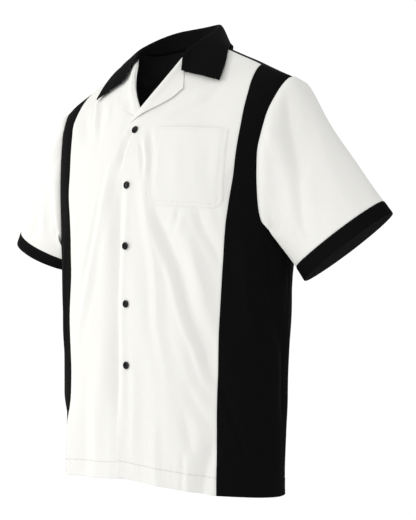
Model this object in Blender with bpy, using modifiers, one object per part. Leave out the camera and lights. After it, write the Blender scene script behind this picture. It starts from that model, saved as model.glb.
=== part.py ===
"""Bowling shirt in its worn shape with no wearer: every cut piece is a thin closed cloth wall."""
import math

import bpy
import numpy as np

for item in list(bpy.data.objects):
    bpy.data.objects.remove(item, do_unlink=True)

# ---- sizes, metres; x to the wearer's left, y to the back, z up, z = 0 at the neck side points
CLOTH = 0.0013           # wall of a single layer of cloth
DOUBLE = 0.0018          # wall of the collar and the cuff bands
SEAM_GAP = 0.0003        # free space between two pieces at a seam
CHEST_LEVEL = -0.27      # above this the cloth leans in to the shoulder line
RING_POWER = 2.1         # squareness of the body ring
MID_Y = -0.009           # depth of the side seams
RIDGE_Y = -0.005         # depth of the shoulder seams
RIDGE_SLOPE = 0.487      # fall of the shoulder seam
RIDGE_START = 0.082      # where the shoulder seam crosses z = 0
NECK_SIDE = 0.079        # half width of the neck at the shoulder seam
FRONT_LEAN = ((1.6, 0.80), (2.2, 0.60))   # powers of the front's lean by the neck and by the sleeve
BACK_LEAN = ((3.5, 0.286), (3.5, 0.286))  # powers of the back's lean
BUTTON_LEVELS = (-0.151, -0.244, -0.344, -0.439, -0.540)
BUTTON_SEATS = (-0.0002, 0.0004, 0.0005, 0.0006, 0.0006)  # each button's back, from the cloth's true curve
CUFF_DEPTH = 0.0238

BODY = {                 # the horizontal rings of the body
    "level":      (-0.760, -0.600, -0.430, -0.270, -0.150, -0.080, 0.020),
    "half_width": (0.2330, 0.2350, 0.2420, 0.2480, 0.2580, 0.2680, 0.2780),
    "front":      (0.1150, 0.1150, 0.1150, 0.1150, 0.1150, 0.1150, 0.1150),
    "back":       (0.0990, 0.1020, 0.1070, 0.1140, 0.1140, 0.1140, 0.1140),
}
HEM = {                  # hem height against the share of the quarter ring
    "share": (0.0, 0.25, 0.50, 0.75, 1.0),
    "front": (-0.7250, -0.7320, -0.7390, -0.7430, -0.7420),
    "back":  (-0.7440, -0.7440, -0.7435, -0.7425, -0.7420),
}
ARMHOLE = {              # step 1 is the underarm, step 2 the shoulder point
    "step":  (1.0, 1.1, 1.2, 1.3, 1.4, 1.5, 1.6, 1.7, 1.8, 1.9, 2.0),
    "level": (-.330, -.325, -.310, -.286, -.258, -.228, -.196, -.167, -.136, -.106, -.0799),
    "front": (1.0, .845, .742, .714, .700, .689, .680, .687, .697, .717, .742),
    "back":  (1.0, .850, .765, .742, .730, .722, .718, .716, .718, .726, .742),
}
RIGHT_SLIP = {           # the shirt hangs a little over the right shoulder: armhole further out there
    "step":  (1.0, 1.5, 1.7, 1.8, 1.9, 2.0),
    "share": (0.0, 0.0, 0.022, 0.045, 0.062, 0.070),
    "level": (0.0, 0.0, -.003, -.006, -.008, 0.0),
}
PANEL_SEAM = {           # seam between the white front and the black side front
    "step":  (0.0, 0.33, 0.66, 1.0, 1.1, 1.2, 1.4, 1.6, 1.8, 1.9, 2.0),
    "level": (-.739, -.610, -.480, -.345, -.315, -.285, -.228, -.170, -.115, -.084, -.0520),
    "share": (.498, .498, .500, .517, .523, .534, .554, .551, .531, .511, .489),
}
RIGHT_SEAM = {           # on the right the cloth is drawn towards the centre, and its seam with it
    "step":  (0.0, 0.33, 0.50, 0.66, 1.0, 1.1, 1.2, 1.4, 1.6, 1.7, 1.8, 2.0),
    "share": (.010, 0.0, -.022, -.018, -.066, -.072, -.083, -.092, -.058, -.030, 0.0, 0.0),
}
FREE_LINE = {            # centre edge of a front: straight, then along the turn of the lapel
    "step":  (0.0, 1.0, 1.6, 1.7, 1.8, 1.9, 2.0),
    "x":     (-.021, -.021, -.0205, .0025, .0282, .0530, .0790),
    "level": (-.725, -.290, -.1375, -.1134, -.0775, -.0260, .0015),
}
BACK_NECK = {            # neck edge of the back
    "x":     (0.0, 0.020, 0.040, 0.060, 0.079),
    "level": (0.012, 0.0115, 0.0095, 0.0060, 0.0015),
}
LAPEL = {                # the turned part of a front: along the fold and along its free edge
    "step":   (0.0, 0.25, 0.50, 0.75, 1.0),
    "fold_x": (-.0185, .0030, .0290, .0450, .0550),
    "fold_z": (-.1360, -.1125, -.0765, -.0470, -.0235),
    "edge_x": (-.0150, .0060, .0390, .0590, .0758),
    "edge_z": (-.1366, -.1262, -.1122, -.1015, -.0877),
}
COLLAR = {               # half of the collar, centre back to front end
    "station": (0.0, 0.16, 0.32, 0.50, 0.68, 0.84, 1.0),
    "neck_x":  (0.000, 0.036, 0.0565, 0.0690, 0.0675, 0.0560, 0.0640),
    "neck_y":  (0.0640, 0.051, 0.031, 0.0020, -.0210, -.0390, -.0575),
    "neck_z":  (0.0130, 0.0095, 0.0035, -.0010, -.0080, -.0235, -.0560),
    "roll_x":  (0.000, 0.040, 0.063, 0.0735, 0.0700, 0.0600, 0.0740),
    "roll_y":  (0.076, 0.066, 0.042, 0.0040, -.0200, -.0385, -.0560),
    "roll_z":  (0.0485, 0.0462, 0.0352, 0.0145, -.0005, -.0180, -.0600),
    "edge_x":  (0.000, 0.050, 0.088, 0.1160, 0.1310, 0.1360, 0.1370),
    "edge_y":  (0.090, 0.080, 0.046, 0.0020, -.0250, -.0380, -.0440),
    "edge_z":  (0.0000, -.0020, -.0035, -.0130, -.0430, -.0660, -.0845),
}
POCKET = {               # the patch on the left breast: x from edge to edge, levels on both edges
    "inner_x": 0.0430, "outer_x": 0.1780,
    "top_inner": -0.1500, "top_outer": -0.1640,
    "low_inner": -0.2790, "low_outer": -0.2910,
    "corner": 0.020,
}
SLEEVE = {               # cuff ring of each sleeve: centre, half axes, hang
    "side":     ("left", "right"),
    "centre_x": (0.3470, 0.3310),
    "centre_y": (0.000, 0.0100),
    "centre_z": (-.3525, -.3480),
    "long":     (0.0903, 0.0820),
    "short":    (0.0430, 0.0470),
    "tilt":     (33.0, 23.0),
    "turn":     (0.20, 0.10),
}


def curve(keys, values, at):
    """Smooth curve through a short table, with no overshoot."""
    k, v = np.asarray(keys, float), np.asarray(values, float)
    at = np.clip(np.asarray(at, float), k[0], k[-1])
    step = np.diff(k)
    rise = np.diff(v) / step
    slope = np.zeros_like(v)
    for i in range(1, len(v) - 1):
        if rise[i - 1] * rise[i] > 0:
            w1, w2 = 2 * step[i] + step[i - 1], step[i] + 2 * step[i - 1]
            slope[i] = (w1 + w2) / (w1 / rise[i - 1] + w2 / rise[i])
    slope[0], slope[-1] = rise[0], rise[-1]
    i = np.clip(np.searchsorted(k, at, side="right") - 1, 0, len(step) - 1)
    t = (at - k[i]) / step[i]
    return ((2 * t**3 - 3 * t**2 + 1) * v[i] + (t**3 - 2 * t**2 + t) * step[i] * slope[i]
            + (3 * t**2 - 2 * t**3) * v[i + 1] + (t**3 - t**2) * step[i] * slope[i + 1])


def unit(vectors):
    return vectors / np.maximum(np.linalg.norm(vectors, axis=-1, keepdims=True), 1e-12)


def ease(t):
    t = np.clip(t, 0.0, 1.0)
    return t * t * (3 - 2 * t)


# ---- the body surface: share -1..1 round the half ring, level up, face -1 front or +1 back
def ridge(x):
    return -RIDGE_SLOPE * (np.abs(x) - RIDGE_START)


def half_width(level):
    return curve(BODY["level"], BODY["half_width"], level)


def ridge_level(share):
    """Level of the shoulder seam above a share of the ring."""
    sine = np.sin(np.asarray(share, float) * math.pi / 2)
    level = np.full_like(sine, -0.04)
    for _ in range(8):
        level = ridge(half_width(level) * sine)
    return level


def torso(share, level, face):
    share, level = np.asarray(share, float), np.asarray(level, float)
    ring = np.minimum(level, CHEST_LEVEL)
    depth = curve(BODY["level"], BODY["front" if face < 0 else "back"], ring)
    sine = np.sin(share * math.pi / 2)
    x = half_width(level) * sine
    across = np.maximum(1 - np.abs(sine) ** RING_POWER, 0) ** (1 / RING_POWER)
    y = MID_Y + face * depth * across
    high = np.clip((level - CHEST_LEVEL) / (ridge(x) - CHEST_LEVEL), 0, 1)
    near, far = FRONT_LEAN if face < 0 else BACK_LEAN
    mix = ease((np.abs(x) - 0.125) / 0.115)
    rise, fall = near[0] + (far[0] - near[0]) * mix, near[1] + (far[1] - near[1]) * mix
    lean = (1 - high ** rise) ** fall
    y = np.where(level > CHEST_LEVEL, RIDGE_Y + (y - RIDGE_Y) * lean, y)
    return np.stack(np.broadcast_arrays(x, y, level), -1)


def torso_normal(share, level, face):
    d = 1e-3
    share, level = np.asarray(share, float), np.asarray(level, float)
    level = np.minimum(level, ridge_level(share) - 2e-3)
    across = torso(share + d, level, face) - torso(share - d, level, face)
    side = np.abs(share) > 1 - d
    flat = np.stack([np.zeros_like(share), np.full_like(share, -face * 1.0) * np.sign(share), np.zeros_like(share)], -1)
    across = np.where(side[..., None], flat, across)
    up = torso(share, level + d, face) - torso(share, level - d, face)
    n = unit(np.cross(across, up))
    return n * (-face)


def share_of(x, level):
    return np.arcsin(np.clip(x / half_width(level), -1, 1)) * 2 / math.pi


def hem(share, face):
    return curve(HEM["share"], HEM["front" if face < 0 else "back"], np.abs(share))


# ---- the lines the pieces are cut along, each as (share, level) at a step 0 hem .. 1 underarm .. 2 top
def side_line(step, face, side):
    share = curve(ARMHOLE["step"], ARMHOLE["front" if face < 0 else "back"], step)
    low = hem(1.0, face) + (ARMHOLE["level"][0] - hem(1.0, face)) * step
    level = np.where(step <= 1, low, curve(ARMHOLE["step"], ARMHOLE["level"], step))
    if side == "right":
        share = share + curve(RIGHT_SLIP["step"], RIGHT_SLIP["share"], step)
        level = level + curve(RIGHT_SLIP["step"], RIGHT_SLIP["level"], step)
    share = np.where(step <= 1, 1.0, share)
    return share, np.where(step >= 2, ridge_level(share), level)


def seam_line(step, side):
    share = curve(PANEL_SEAM["step"], PANEL_SEAM["share"], step)
    if side == "right":
        share = share + curve(RIGHT_SEAM["step"], RIGHT_SEAM["share"], step)
    level = curve(PANEL_SEAM["step"], PANEL_SEAM["level"], step)
    top = ridge_level(share)
    return share, np.where(step >= 2, top, np.minimum(level, top))


def free_line(step):
    x = curve(FREE_LINE["step"], FREE_LINE["x"], step)
    level = curve(FREE_LINE["step"], FREE_LINE["level"], step)
    share = share_of(x, level)
    top = ridge_level(share)
    return share, np.where(step >= 2, top, np.minimum(level, top))


def steps_list(low, high):
    return np.concatenate([np.linspace(0, 1, low, endpoint=False), np.linspace(1, 2, high)])


def between(first, second, s, t):
    """Grid [row t][column s] of (share, level) between two lines, the top row on the shoulder seam."""
    (a0, b0), (a1, b1) = first(t), second(t)
    share = a0[:, None] + (a1 - a0)[:, None] * s[None, :]
    level = b0[:, None] + (b1 - b0)[:, None] * s[None, :]
    top = ridge_level(share)
    level = np.where((t >= 2)[:, None], top, np.minimum(level, top))
    return share, level


# ---- walls
def shell(name, outer, normal, wall, slot, ring=False, flip=False):
    """Closed wall: the outer grid, the same grid one wall deeper, and the rims between them."""
    rows, cols = outer.shape[:2]
    wall = np.broadcast_to(np.asarray(wall, float), (rows, cols))
    inner = outer - normal * wall[..., None]
    points = np.concatenate([outer.reshape(-1, 3), inner.reshape(-1, 3)])
    half = rows * cols
    faces = []
    last = cols if ring else cols - 1
    for r in range(rows - 1):
        for c in range(last):
            n = (c + 1) % cols
            quad = (r * cols + c, r * cols + n, (r + 1) * cols + n, (r + 1) * cols + c)
            faces.append(quad)
            faces.append(tuple(half + i for i in reversed(quad)))
    for c in range(last):
        n = (c + 1) % cols
        faces.append((half + c, half + n, n, c))
        top = (rows - 1) * cols
        faces.append((top + c, top + n, half + top + n, half + top + c))
    if not ring:
        for r in range(rows - 1):
            a, b = r * cols, (r + 1) * cols
            faces.append((a, b, half + b, half + a))
            a, b = a + cols - 1, b + cols - 1
            faces.append((half + a, half + b, b, a))
    if flip:
        faces = [tuple(reversed(f)) for f in faces]
    return solid(name, points, faces, slot)


def solid(name, points, faces, slot):
    mesh = bpy.data.meshes.new(name)
    mesh.from_pydata([tuple(p) for p in points], [], faces)
    mesh.validate()
    mesh.update()
    thing = bpy.data.objects.new(name, mesh)
    BUILD.objects.link(thing)
    mesh.materials.append(MATERIALS[slot])
    return thing


def pull(grid, side, distance, ring=False):
    """Draw one edge of a grid back along the cloth, by a distance square to that edge."""
    grid = grid.copy()
    if side in ("first", "last"):
        edge, next_in = (grid[:, 0], grid[:, 1]) if side == "first" else (grid[:, -1], grid[:, -2])
    else:
        edge, next_in = (grid[0], grid[1]) if side == "bottom" else (grid[-1], grid[-2])
    inward = unit(next_in - edge)
    if ring:
        along = unit(np.roll(edge, -1, 0) - np.roll(edge, 1, 0))
    else:
        along = unit(np.gradient(edge, axis=0))
    sine = np.linalg.norm(np.cross(inward, along), axis=-1, keepdims=True)
    edge += inward * distance / np.maximum(sine, 0.3)
    return grid


def tuck(x):
    """How far the lower front, its lapel included, passes behind the upper one."""
    return ease((0.036 - x) / 0.012) * (CLOTH + 0.0019)


def material(name, colour, roughness):
    item = bpy.data.materials.new(name)
    item.use_nodes = True
    shader = item.node_tree.nodes["Principled BSDF"]
    shader.inputs["Base Color"].default_value = (*colour, 1.0)
    shader.inputs["Roughness"].default_value = roughness
    return item


BUILD = bpy.data.collections.new("bowling_shirt")
bpy.context.scene.collection.children.link(BUILD)
MATERIALS = {
    "white": material("white_cloth", (0.90, 0.89, 0.86), 0.9),
    "black": material("black_cloth", (0.012, 0.012, 0.013), 0.9),
    "button": material("black_button", (0.01, 0.01, 0.01), 0.25),
}
HALF_GAP = SEAM_GAP / 2 + 0.00005
STEPS = steps_list(7, 11)
RIDGE_NORMAL = unit(np.array([RIDGE_SLOPE, 0.0, 1.0]))


# ---- sleeves: from the armhole loop to the cuff ring
def arm_loop(u, side):
    """Armhole point at u: 0 shoulder, 0.5 underarm, round the back first."""
    u = np.asarray(u, float) % 1.0
    step = np.where(u <= 0.5, 2 - 2 * u, 2 * u)
    back = torso(*side_line(step, 1, side), 1)
    front = torso(*side_line(step, -1, side), -1)
    return np.where((u <= 0.5)[..., None], back, front)


def arm_loop_normal(u, side):
    u = np.asarray(u, float) % 1.0
    step = np.where(u <= 0.5, 2 - 2 * u, 2 * u)
    back = torso_normal(*side_line(step, 1, side), 1)
    front = torso_normal(*side_line(step, -1, side), -1)
    n = np.where((u <= 0.5)[..., None], back, front)
    return np.where((step > 1.999)[..., None], RIDGE_NORMAL, n)


def cuff_ring(side, u):
    i = SLEEVE["side"].index(side)
    centre = np.array([SLEEVE["centre_x"][i], SLEEVE["centre_y"][i], SLEEVE["centre_z"][i]])
    tilt = math.radians(SLEEVE["tilt"][i])
    outward = np.array([math.cos(tilt), 0.0, math.sin(tilt)])
    hang = unit(np.array([math.sin(tilt), SLEEVE["turn"][i], -math.cos(tilt)]))
    across = np.cross(hang, outward)
    angle = np.asarray(u, float) * 2 * math.pi
    ring = (centre + outward * np.cos(angle)[..., None] * SLEEVE["long"][i]
            - across * np.sin(angle)[..., None] * SLEEVE["short"][i])
    return ring, hang


def sleeve(side, u, w):
    """Sleeve surface on the wearer's left; the right one is mirrored later."""
    u, t = np.asarray(u, float), np.asarray(w, float)[..., None]
    start = arm_loop(u, side)
    end, hang = cuff_ring(side, u)
    reach = np.linalg.norm(end - start, axis=-1, keepdims=True)
    lead = unit(end - start)
    base = ((2 * t**3 - 3 * t**2 + 1) * start + (t**3 - 2 * t**2 + t) * reach * lead
            + (3 * t**2 - 2 * t**3) * end + (t**3 - t**2) * reach * unit(lead + 0.5 * hang))
    top = 0.5 + 0.5 * np.cos(2 * math.pi * u)[..., None]
    cap = (0.007 + 0.003 * top) * (t / 0.10) * np.exp(1 - t / 0.10) * (1 - t)
    return base + arm_loop_normal(u, side) * cap


def sleeve_normal(side, u, w):
    d = 2e-3
    u, w = np.asarray(u, float), np.asarray(w, float)
    around = sleeve(side, u + d, w) - sleeve(side, u - d, w)
    along = sleeve(side, u, np.minimum(w + d, 1)) - sleeve(side, u, np.maximum(w - d, 0))
    return unit(np.cross(along, around))


def mirror(grid):
    return grid * np.array([-1.0, 1.0, 1.0])


def seam_normal(first, second):
    both = unit(first + second)
    lean = np.sum(both * first, -1, keepdims=True)
    return both / np.maximum(lean, 0.72)


ROUND = np.linspace(0, 1, 20, endpoint=False)


def arm_seam_normal(side, u):
    return seam_normal(arm_loop_normal(u, side), sleeve_normal(side, u, np.full_like(u, 0.03)))


# ---- fronts
def build_panel(name, first, second, columns, slot, side, face=-1, under=False, edges=("first", "last")):
    s = np.linspace(0, 1, columns)
    share, level = between(first, second, s, STEPS)
    outer = torso(share, level, face)
    normal = torso_normal(share, level, face)
    normal[-1] = RIDGE_NORMAL * np.array([1, 1, 1])
    if second in (SIDE_EDGE["left"], SIDE_EDGE["right"]):
        high = STEPS >= 1
        u = STEPS[high] / 2 if face < 0 else 1 - STEPS[high] / 2
        normal[high, -1] = arm_seam_normal(side, u)
    if under:
        outer = outer - normal * tuck(outer[..., 0])[..., None]
    for edge in edges:
        outer = pull(outer, edge, HALF_GAP * 1.4)
    outer = pull(outer, "top", HALF_GAP)
    if side == "right":
        outer, normal = mirror(outer), mirror(normal)
    return shell(name, outer, normal, CLOTH, slot, flip=(side == "right"))


SIDE_EDGE = {
    "left": lambda step: side_line(step, -1, "left"),
    "right": lambda step: side_line(step, -1, "right"),
}
PANEL_EDGE = {
    "left": lambda step: seam_line(step, "left"),
    "right": lambda step: seam_line(step, "right"),
}

for side in ("left", "right"):
    build_panel("front_" + side, free_line, PANEL_EDGE[side], 9, "white", side, under=(side == "right"), edges=("last",))
    build_panel("side_front_" + side, PANEL_EDGE[side], SIDE_EDGE[side], 5, "black", side)

# ---- back
def back_grid(s, t):
    """Back from side to side: column shares scaled to the armhole, rows from hem to neck and shoulder."""
    ends = {side: side_line(t, 1, side) for side in ("left", "right")}
    left = s[None, :] >= 0
    edge_share = np.where(left, ends["left"][0][:, None], ends["right"][0][:, None])
    edge_level = np.where(left, ends["left"][1][:, None], ends["right"][1][:, None])
    share = s[None, :] * edge_share
    seam = ridge_level(share[-1])
    top_x = half_width(seam) * np.sin(share[-1] * math.pi / 2)
    top = np.where(np.abs(top_x) >= NECK_SIDE - 1e-6, seam,
                   curve(BACK_NECK["x"], BACK_NECK["level"], np.abs(top_x)))
    low = hem(s, 1)
    armpit = (ARMHOLE["level"][0] - 0.015 * (1 - np.abs(s) ** 4))[None, :]
    above = (edge_level - ARMHOLE["level"][0]) / (edge_level[-1] - ARMHOLE["level"][0])
    level = np.where(t[:, None] <= 1, low[None] + (armpit - low[None]) * t[:, None],
                     armpit + (top[None] - armpit) * above)
    return share, level


neck_share = float(share_of(np.array(NECK_SIDE), ridge(np.array(NECK_SIDE))))
columns = {}
for side in ("left", "right"):
    neck_s = neck_share / float(side_line(np.array(2.0), 1, side)[0])
    columns[side] = np.concatenate([np.linspace(0, neck_s, 5), np.linspace(neck_s, 1, 7)[1:]])
back_s = np.concatenate([-columns["right"][::-1], columns["left"][1:]])
share, level = back_grid(back_s, STEPS)
outer = torso(share, level, 1)
normal = torso_normal(share, level, 1)
on_ridge = np.abs(outer[-1, :, 0]) >= NECK_SIDE - 1e-6
normal[-1, on_ridge] = RIDGE_NORMAL * np.stack([np.sign(back_s[on_ridge])] + [np.ones(on_ridge.sum())] * 2, -1)
high = STEPS >= 1
normal[high, -1] = arm_seam_normal("left", 1 - STEPS[high] / 2)
normal[high, 0] = mirror(arm_seam_normal("right", 1 - STEPS[high] / 2))
for edge in ("first", "last", "top"):
    outer = pull(outer, edge, HALF_GAP * 1.4)
shell("back", outer, normal, CLOTH, "black", flip=True)

# ---- sleeves and cuff bands
def cuff_start(side, u):
    """Share of the sleeve's length where the band begins, so that the band is one depth all round."""
    w = np.linspace(0, 1, 81)
    line = sleeve(side, np.repeat(u[:, None], 81, 1), np.repeat(w[None], len(u), 0))
    length = np.concatenate([np.zeros((len(u), 1)), np.cumsum(np.linalg.norm(np.diff(line, axis=1), axis=-1), 1)], 1)
    return np.array([np.interp(l[-1] - CUFF_DEPTH, l, w) for l in length])


for side in ("left", "right"):
    begin = cuff_start(side, ROUND)
    rows = np.linspace(0, 1, 8)[:, None] * begin[None]
    grid_u = np.repeat(ROUND[None], 8, 0)
    outer, normal = sleeve(side, grid_u, rows), sleeve_normal(side, grid_u, rows)
    normal[0] = arm_seam_normal(side, ROUND)
    for edge in ("bottom", "top"):
        outer = pull(outer, edge, HALF_GAP * 1.4, ring=True)
    band_rows = begin[None] + (1 - begin)[None] * np.linspace(0, 1, 3)[:, None]
    band_u = np.repeat(ROUND[None], 3, 0)
    band, band_normal = sleeve(side, band_u, band_rows), sleeve_normal(side, band_u, band_rows)
    band = pull(band + band_normal * 0.0003, "bottom", HALF_GAP, ring=True)
    if side == "right":
        outer, normal, band, band_normal = (mirror(g) for g in (outer, normal, band, band_normal))
    shell("sleeve_" + side, outer, normal, CLOTH, "white", ring=True, flip=(side == "left"))
    shell("cuff_" + side, band, band_normal, DOUBLE, "black", ring=True, flip=(side == "left"))

# ---- free-form pieces
def grid_normal(grid):
    return unit(np.cross(np.gradient(grid, axis=1), np.gradient(grid, axis=0)))


def body_samples():
    """Points and outward normals of the upper body, front and back, both sides."""
    share = np.linspace(-0.75, 0.75, 121)
    points, normals = [], []
    for face in (-1, 1):
        top = ridge_level(share)
        level = top[None] + (-0.20 - top)[None] * np.linspace(0, 1, 60)[:, None] ** 1.3
        grid = np.repeat(share[None], 60, 0)
        points.append(torso(grid, level, face).reshape(-1, 3))
        normals.append(torso_normal(grid, level, face).reshape(-1, 3))
    return np.concatenate(points), np.concatenate(normals)


BODY_POINTS, BODY_NORMALS = body_samples()


def press(grid, clearance):
    """Lift points that come nearer to the body's outer face than the clearance."""
    flat = grid.reshape(-1, 3).copy()
    clear = np.broadcast_to(clearance, grid.shape[:2]).reshape(-1)
    for i, p in enumerate(flat):
        k = np.argmin(((BODY_POINTS - p) ** 2).sum(1))
        short = clear[i] - (p - BODY_POINTS[k]).dot(BODY_NORMALS[k])
        if short > 0 and clear[i] > 0:
            flat[i] = p + BODY_NORMALS[k] * short
    return flat.reshape(grid.shape)


def hermite(a, lead, b, trail, t):
    t = np.asarray(t, float)[:, None]
    return ((2 * t**3 - 3 * t**2 + 1) * a + (t**3 - 2 * t**2 + t) * lead
            + (3 * t**2 - 2 * t**3) * b + (t**3 - t**2) * trail)


def collar_grid(stations, inside, outside):
    """Half collar: each column runs neck seam, up the stand, over the roll, down the leaf."""
    columns = []
    for u in stations:
        neck, roll, edge = (np.array([float(curve(COLLAR["station"], COLLAR[part + "_" + axis], u)) for axis in "xyz"])
                            for part in ("neck", "roll", "edge"))
        flat = edge - neck
        flat[2] *= 0.3
        flat = flat / np.linalg.norm(flat)
        rise = np.linalg.norm(roll - neck)
        turn = flat * min(0.013, 0.8 * rise)
        up = hermite(neck, (roll - neck) * 1.1, roll, turn, inside)
        down = hermite(roll, turn * 1.1, edge, (edge - roll) * 1.0, outside)
        columns.append(np.concatenate([up, down]))
    return np.stack(columns, 1)


half = collar_grid(np.linspace(0, 1, 14), (0, 0.35, 0.65, 0.88), (0, 0.10, 0.25, 0.5, 0.75, 1.0))
lift = np.zeros(half.shape[:2])
lift[5:] = 0.0032 + 0.0020 * ease((np.linspace(0, 1, 14) - 0.6) / 0.25)[None]
lift[:5] = np.where(np.linspace(0, 1, 14) > 0.8, 0.0052, 0.0)[None]
half = press(half, lift)
half[:, 0, 0] = 0.0
grid = np.concatenate([mirror(half[:, :0:-1]), half], 1)
shell("collar", grid, -grid_normal(grid), DOUBLE, "black", flip=True)

# ---- lapels
for side in ("left", "right"):
    t = np.linspace(0, 1, 10)
    s = np.array([0.0, 0.12, 0.35, 0.65, 1.0])
    fold = [curve(LAPEL["step"], LAPEL["fold_" + axis], t)[:, None] for axis in "xz"]
    edge = [curve(LAPEL["step"], LAPEL["edge_" + axis], t)[:, None] for axis in "xz"]
    x = fold[0] + (edge[0] - fold[0]) * s[None]
    z = fold[1] + (edge[1] - fold[1]) * s[None]
    share = share_of(x, z)
    normal = torso_normal(share, z, -1)
    width = np.hypot(edge[0] - fold[0], edge[1] - fold[1])
    puff = 0.0022 * ease(width / 0.03) * np.sin(math.pi * np.clip(s[None] * 0.9 + 0.1, 0, 1)) ** 2
    outer = torso(share, z, -1) + normal * (SEAM_GAP + CLOTH + 0.0005 + puff)[..., None]
    if side == "right":
        outer = outer - normal * tuck(x)[..., None]
        keep = t > 0.30
        outer, normal = mirror(outer[keep]), mirror(normal[keep])
    shell("lapel_" + side, outer, normal, CLOTH, "white", flip=(side == "right"))

# ---- pocket
s = np.array([0, 0.035, 0.08, 0.15, 0.32, 0.5, 0.68, 0.85, 0.92, 0.965, 1])
t = np.linspace(0, 1, 9)
width = POCKET["outer_x"] - POCKET["inner_x"]
from_edge = np.minimum(s, 1 - s) * width / POCKET["corner"]
rounding = POCKET["corner"] * (1 - np.sqrt(1 - (1 - np.minimum(from_edge, 1)) ** 2))
low = POCKET["low_inner"] + (POCKET["low_outer"] - POCKET["low_inner"]) * s + rounding
top = POCKET["top_inner"] + (POCKET["top_outer"] - POCKET["top_inner"]) * s
z = low[None] + (top - low)[None] * t[:, None]
x = np.repeat((POCKET["inner_x"] + width * s)[None], 9, 0)
share = share_of(x, z)
normal = torso_normal(share, z, -1)
outer = torso(share, z, -1) + normal * (SEAM_GAP + CLOTH + 0.0006)
shell("pocket", outer, normal, CLOTH, "white")

# ---- buttons: a turned profile, then placed on the left front
PROFILE = ((0.0000, 0.0000), (0.0050, 0.0000), (0.0060, 0.0005), (0.0063, 0.0012), (0.0060, 0.0020),
           (0.0052, 0.0023), (0.0043, 0.0018), (0.0000, 0.0016))
for number, (z, seat) in enumerate(zip(BUTTON_LEVELS, BUTTON_SEATS), 1):
    mesh = bpy.data.meshes.new("button_%d" % number)
    mesh.from_pydata([(r, 0.0, h) for r, h in PROFILE], [(i, i + 1) for i in range(len(PROFILE) - 1)], [])
    thing = bpy.data.objects.new("button_%d" % number, mesh)
    BUILD.objects.link(thing)
    mesh.materials.append(MATERIALS["button"])
    turned = thing.modifiers.new("turned", "SCREW")
    turned.axis = "Z"
    turned.steps = turned.render_steps = 20
    turned.use_merge_vertices = True
    turned.merge_threshold = 1e-5
    turned.use_normal_calculate = True
    n = torso_normal(np.array(0.0), np.array(z), -1)
    where = torso(np.array(0.0), np.array(z), -1) + n * seat
    thing.location = tuple(where)
    thing.rotation_euler = (math.atan2(-n[1], n[2]), 0.0, 0.0)
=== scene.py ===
# %% [markdown]
# # A bowling shirt, worn and empty
# This lesson dresses a plain solid model of a short-sleeved bowling shirt.
# The shirt hangs in the shape it has on a body, with nobody in it, so neck,
# hem and cuffs are open and the cloth is one thin wall all over.
# Each piece that a tailor cuts is one object here: fronts, side insets,
# back, sleeves, bands, collar, lapels, pocket and buttons.

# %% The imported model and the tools
import math
from functools import partial

import bpy
import numpy as np
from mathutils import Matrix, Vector, kdtree


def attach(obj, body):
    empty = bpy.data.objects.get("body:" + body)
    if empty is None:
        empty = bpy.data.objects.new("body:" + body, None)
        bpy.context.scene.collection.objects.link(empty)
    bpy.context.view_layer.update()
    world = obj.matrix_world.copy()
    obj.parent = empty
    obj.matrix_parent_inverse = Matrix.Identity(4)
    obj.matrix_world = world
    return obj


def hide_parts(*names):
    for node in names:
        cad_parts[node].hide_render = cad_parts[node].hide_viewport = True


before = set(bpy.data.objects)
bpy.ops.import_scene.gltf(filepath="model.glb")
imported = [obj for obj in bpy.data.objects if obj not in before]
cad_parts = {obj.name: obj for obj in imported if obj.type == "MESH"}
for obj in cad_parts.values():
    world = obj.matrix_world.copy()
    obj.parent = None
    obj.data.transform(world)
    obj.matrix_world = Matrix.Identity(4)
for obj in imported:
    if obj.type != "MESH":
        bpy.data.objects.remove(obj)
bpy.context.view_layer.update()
scene = bpy.context.scene

# %% [markdown]
# ## Camera, light and floor
# A shirt for sale is shown from its wearer's front left, level with the chest,
# so both the buttons and the side inset show. A long lens keeps the sleeves
# from swelling. The camera stays level and its frame is slid instead of
# tilted, so upright seams stay upright.

# %% Camera
VIEW_ANGLE = math.radians(41.0)
CAMERA_DISTANCE = 1.96
EYE_LEVEL = -0.426


def add_object(name, data):
    """A new object that holds the data and stands in the scene."""
    thing = bpy.data.objects.new(name, data)
    scene.collection.objects.link(thing)
    return thing


camera_data = bpy.data.cameras.new("shirt_camera")
camera_data.lens = 78.7
camera_data.sensor_width = 36.0
camera_data.shift_x = 0.0615
camera_data.shift_y = 0.0692
camera = add_object("shirt_camera", camera_data)
camera.location = (CAMERA_DISTANCE * math.sin(VIEW_ANGLE), -CAMERA_DISTANCE * math.cos(VIEW_ANGLE),
                   EYE_LEVEL)
camera.rotation_euler = (math.pi / 2, 0.0, VIEW_ANGLE)
scene.camera = camera
print("camera at", tuple(round(v, 2) for v in camera.location))

# %% [markdown]
# The room is a white cove: even white light from the sides, a little more
# from above on the wearer's right. Two soft lamps stand on that side, one
# high and one low, so that they rake the folds, and a weak one fills in from
# the other side. Right behind the shirt the cove is lit to plain white.

# %% World and lamps
AMBIENT, KEY_SKY, BACKDROP = 0.715, 0.07, 1.03
KEY_HEADING = (-0.38, -0.42, 0.82)
BACKDROP_HEADING = (-math.sin(VIEW_ANGLE), math.cos(VIEW_ANGLE), 0.05)
BACKDROP_RIM, BACKDROP_CORE = math.cos(math.radians(36)), math.cos(math.radians(24))
FLOOR_LEVEL, FLOOR_RADIUS = -1.46, 1.15
scene.view_settings.view_transform = "Standard"
world = bpy.data.worlds.new("white_cove")
scene.world = world
world.use_nodes = True
tree = world.node_tree
tree.nodes.clear()


def maths(tree, operation, *inputs, clamp=False):
    """One arithmetic node; numbers are typed in, sockets are linked."""
    node = tree.nodes.new("ShaderNodeMath")
    node.operation = operation
    node.use_clamp = clamp
    for number, item in enumerate(inputs):
        if isinstance(item, (int, float)):
            node.inputs[number].default_value = item
        else:
            tree.links.new(item, node.inputs[number])
    return node.outputs[0]


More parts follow.
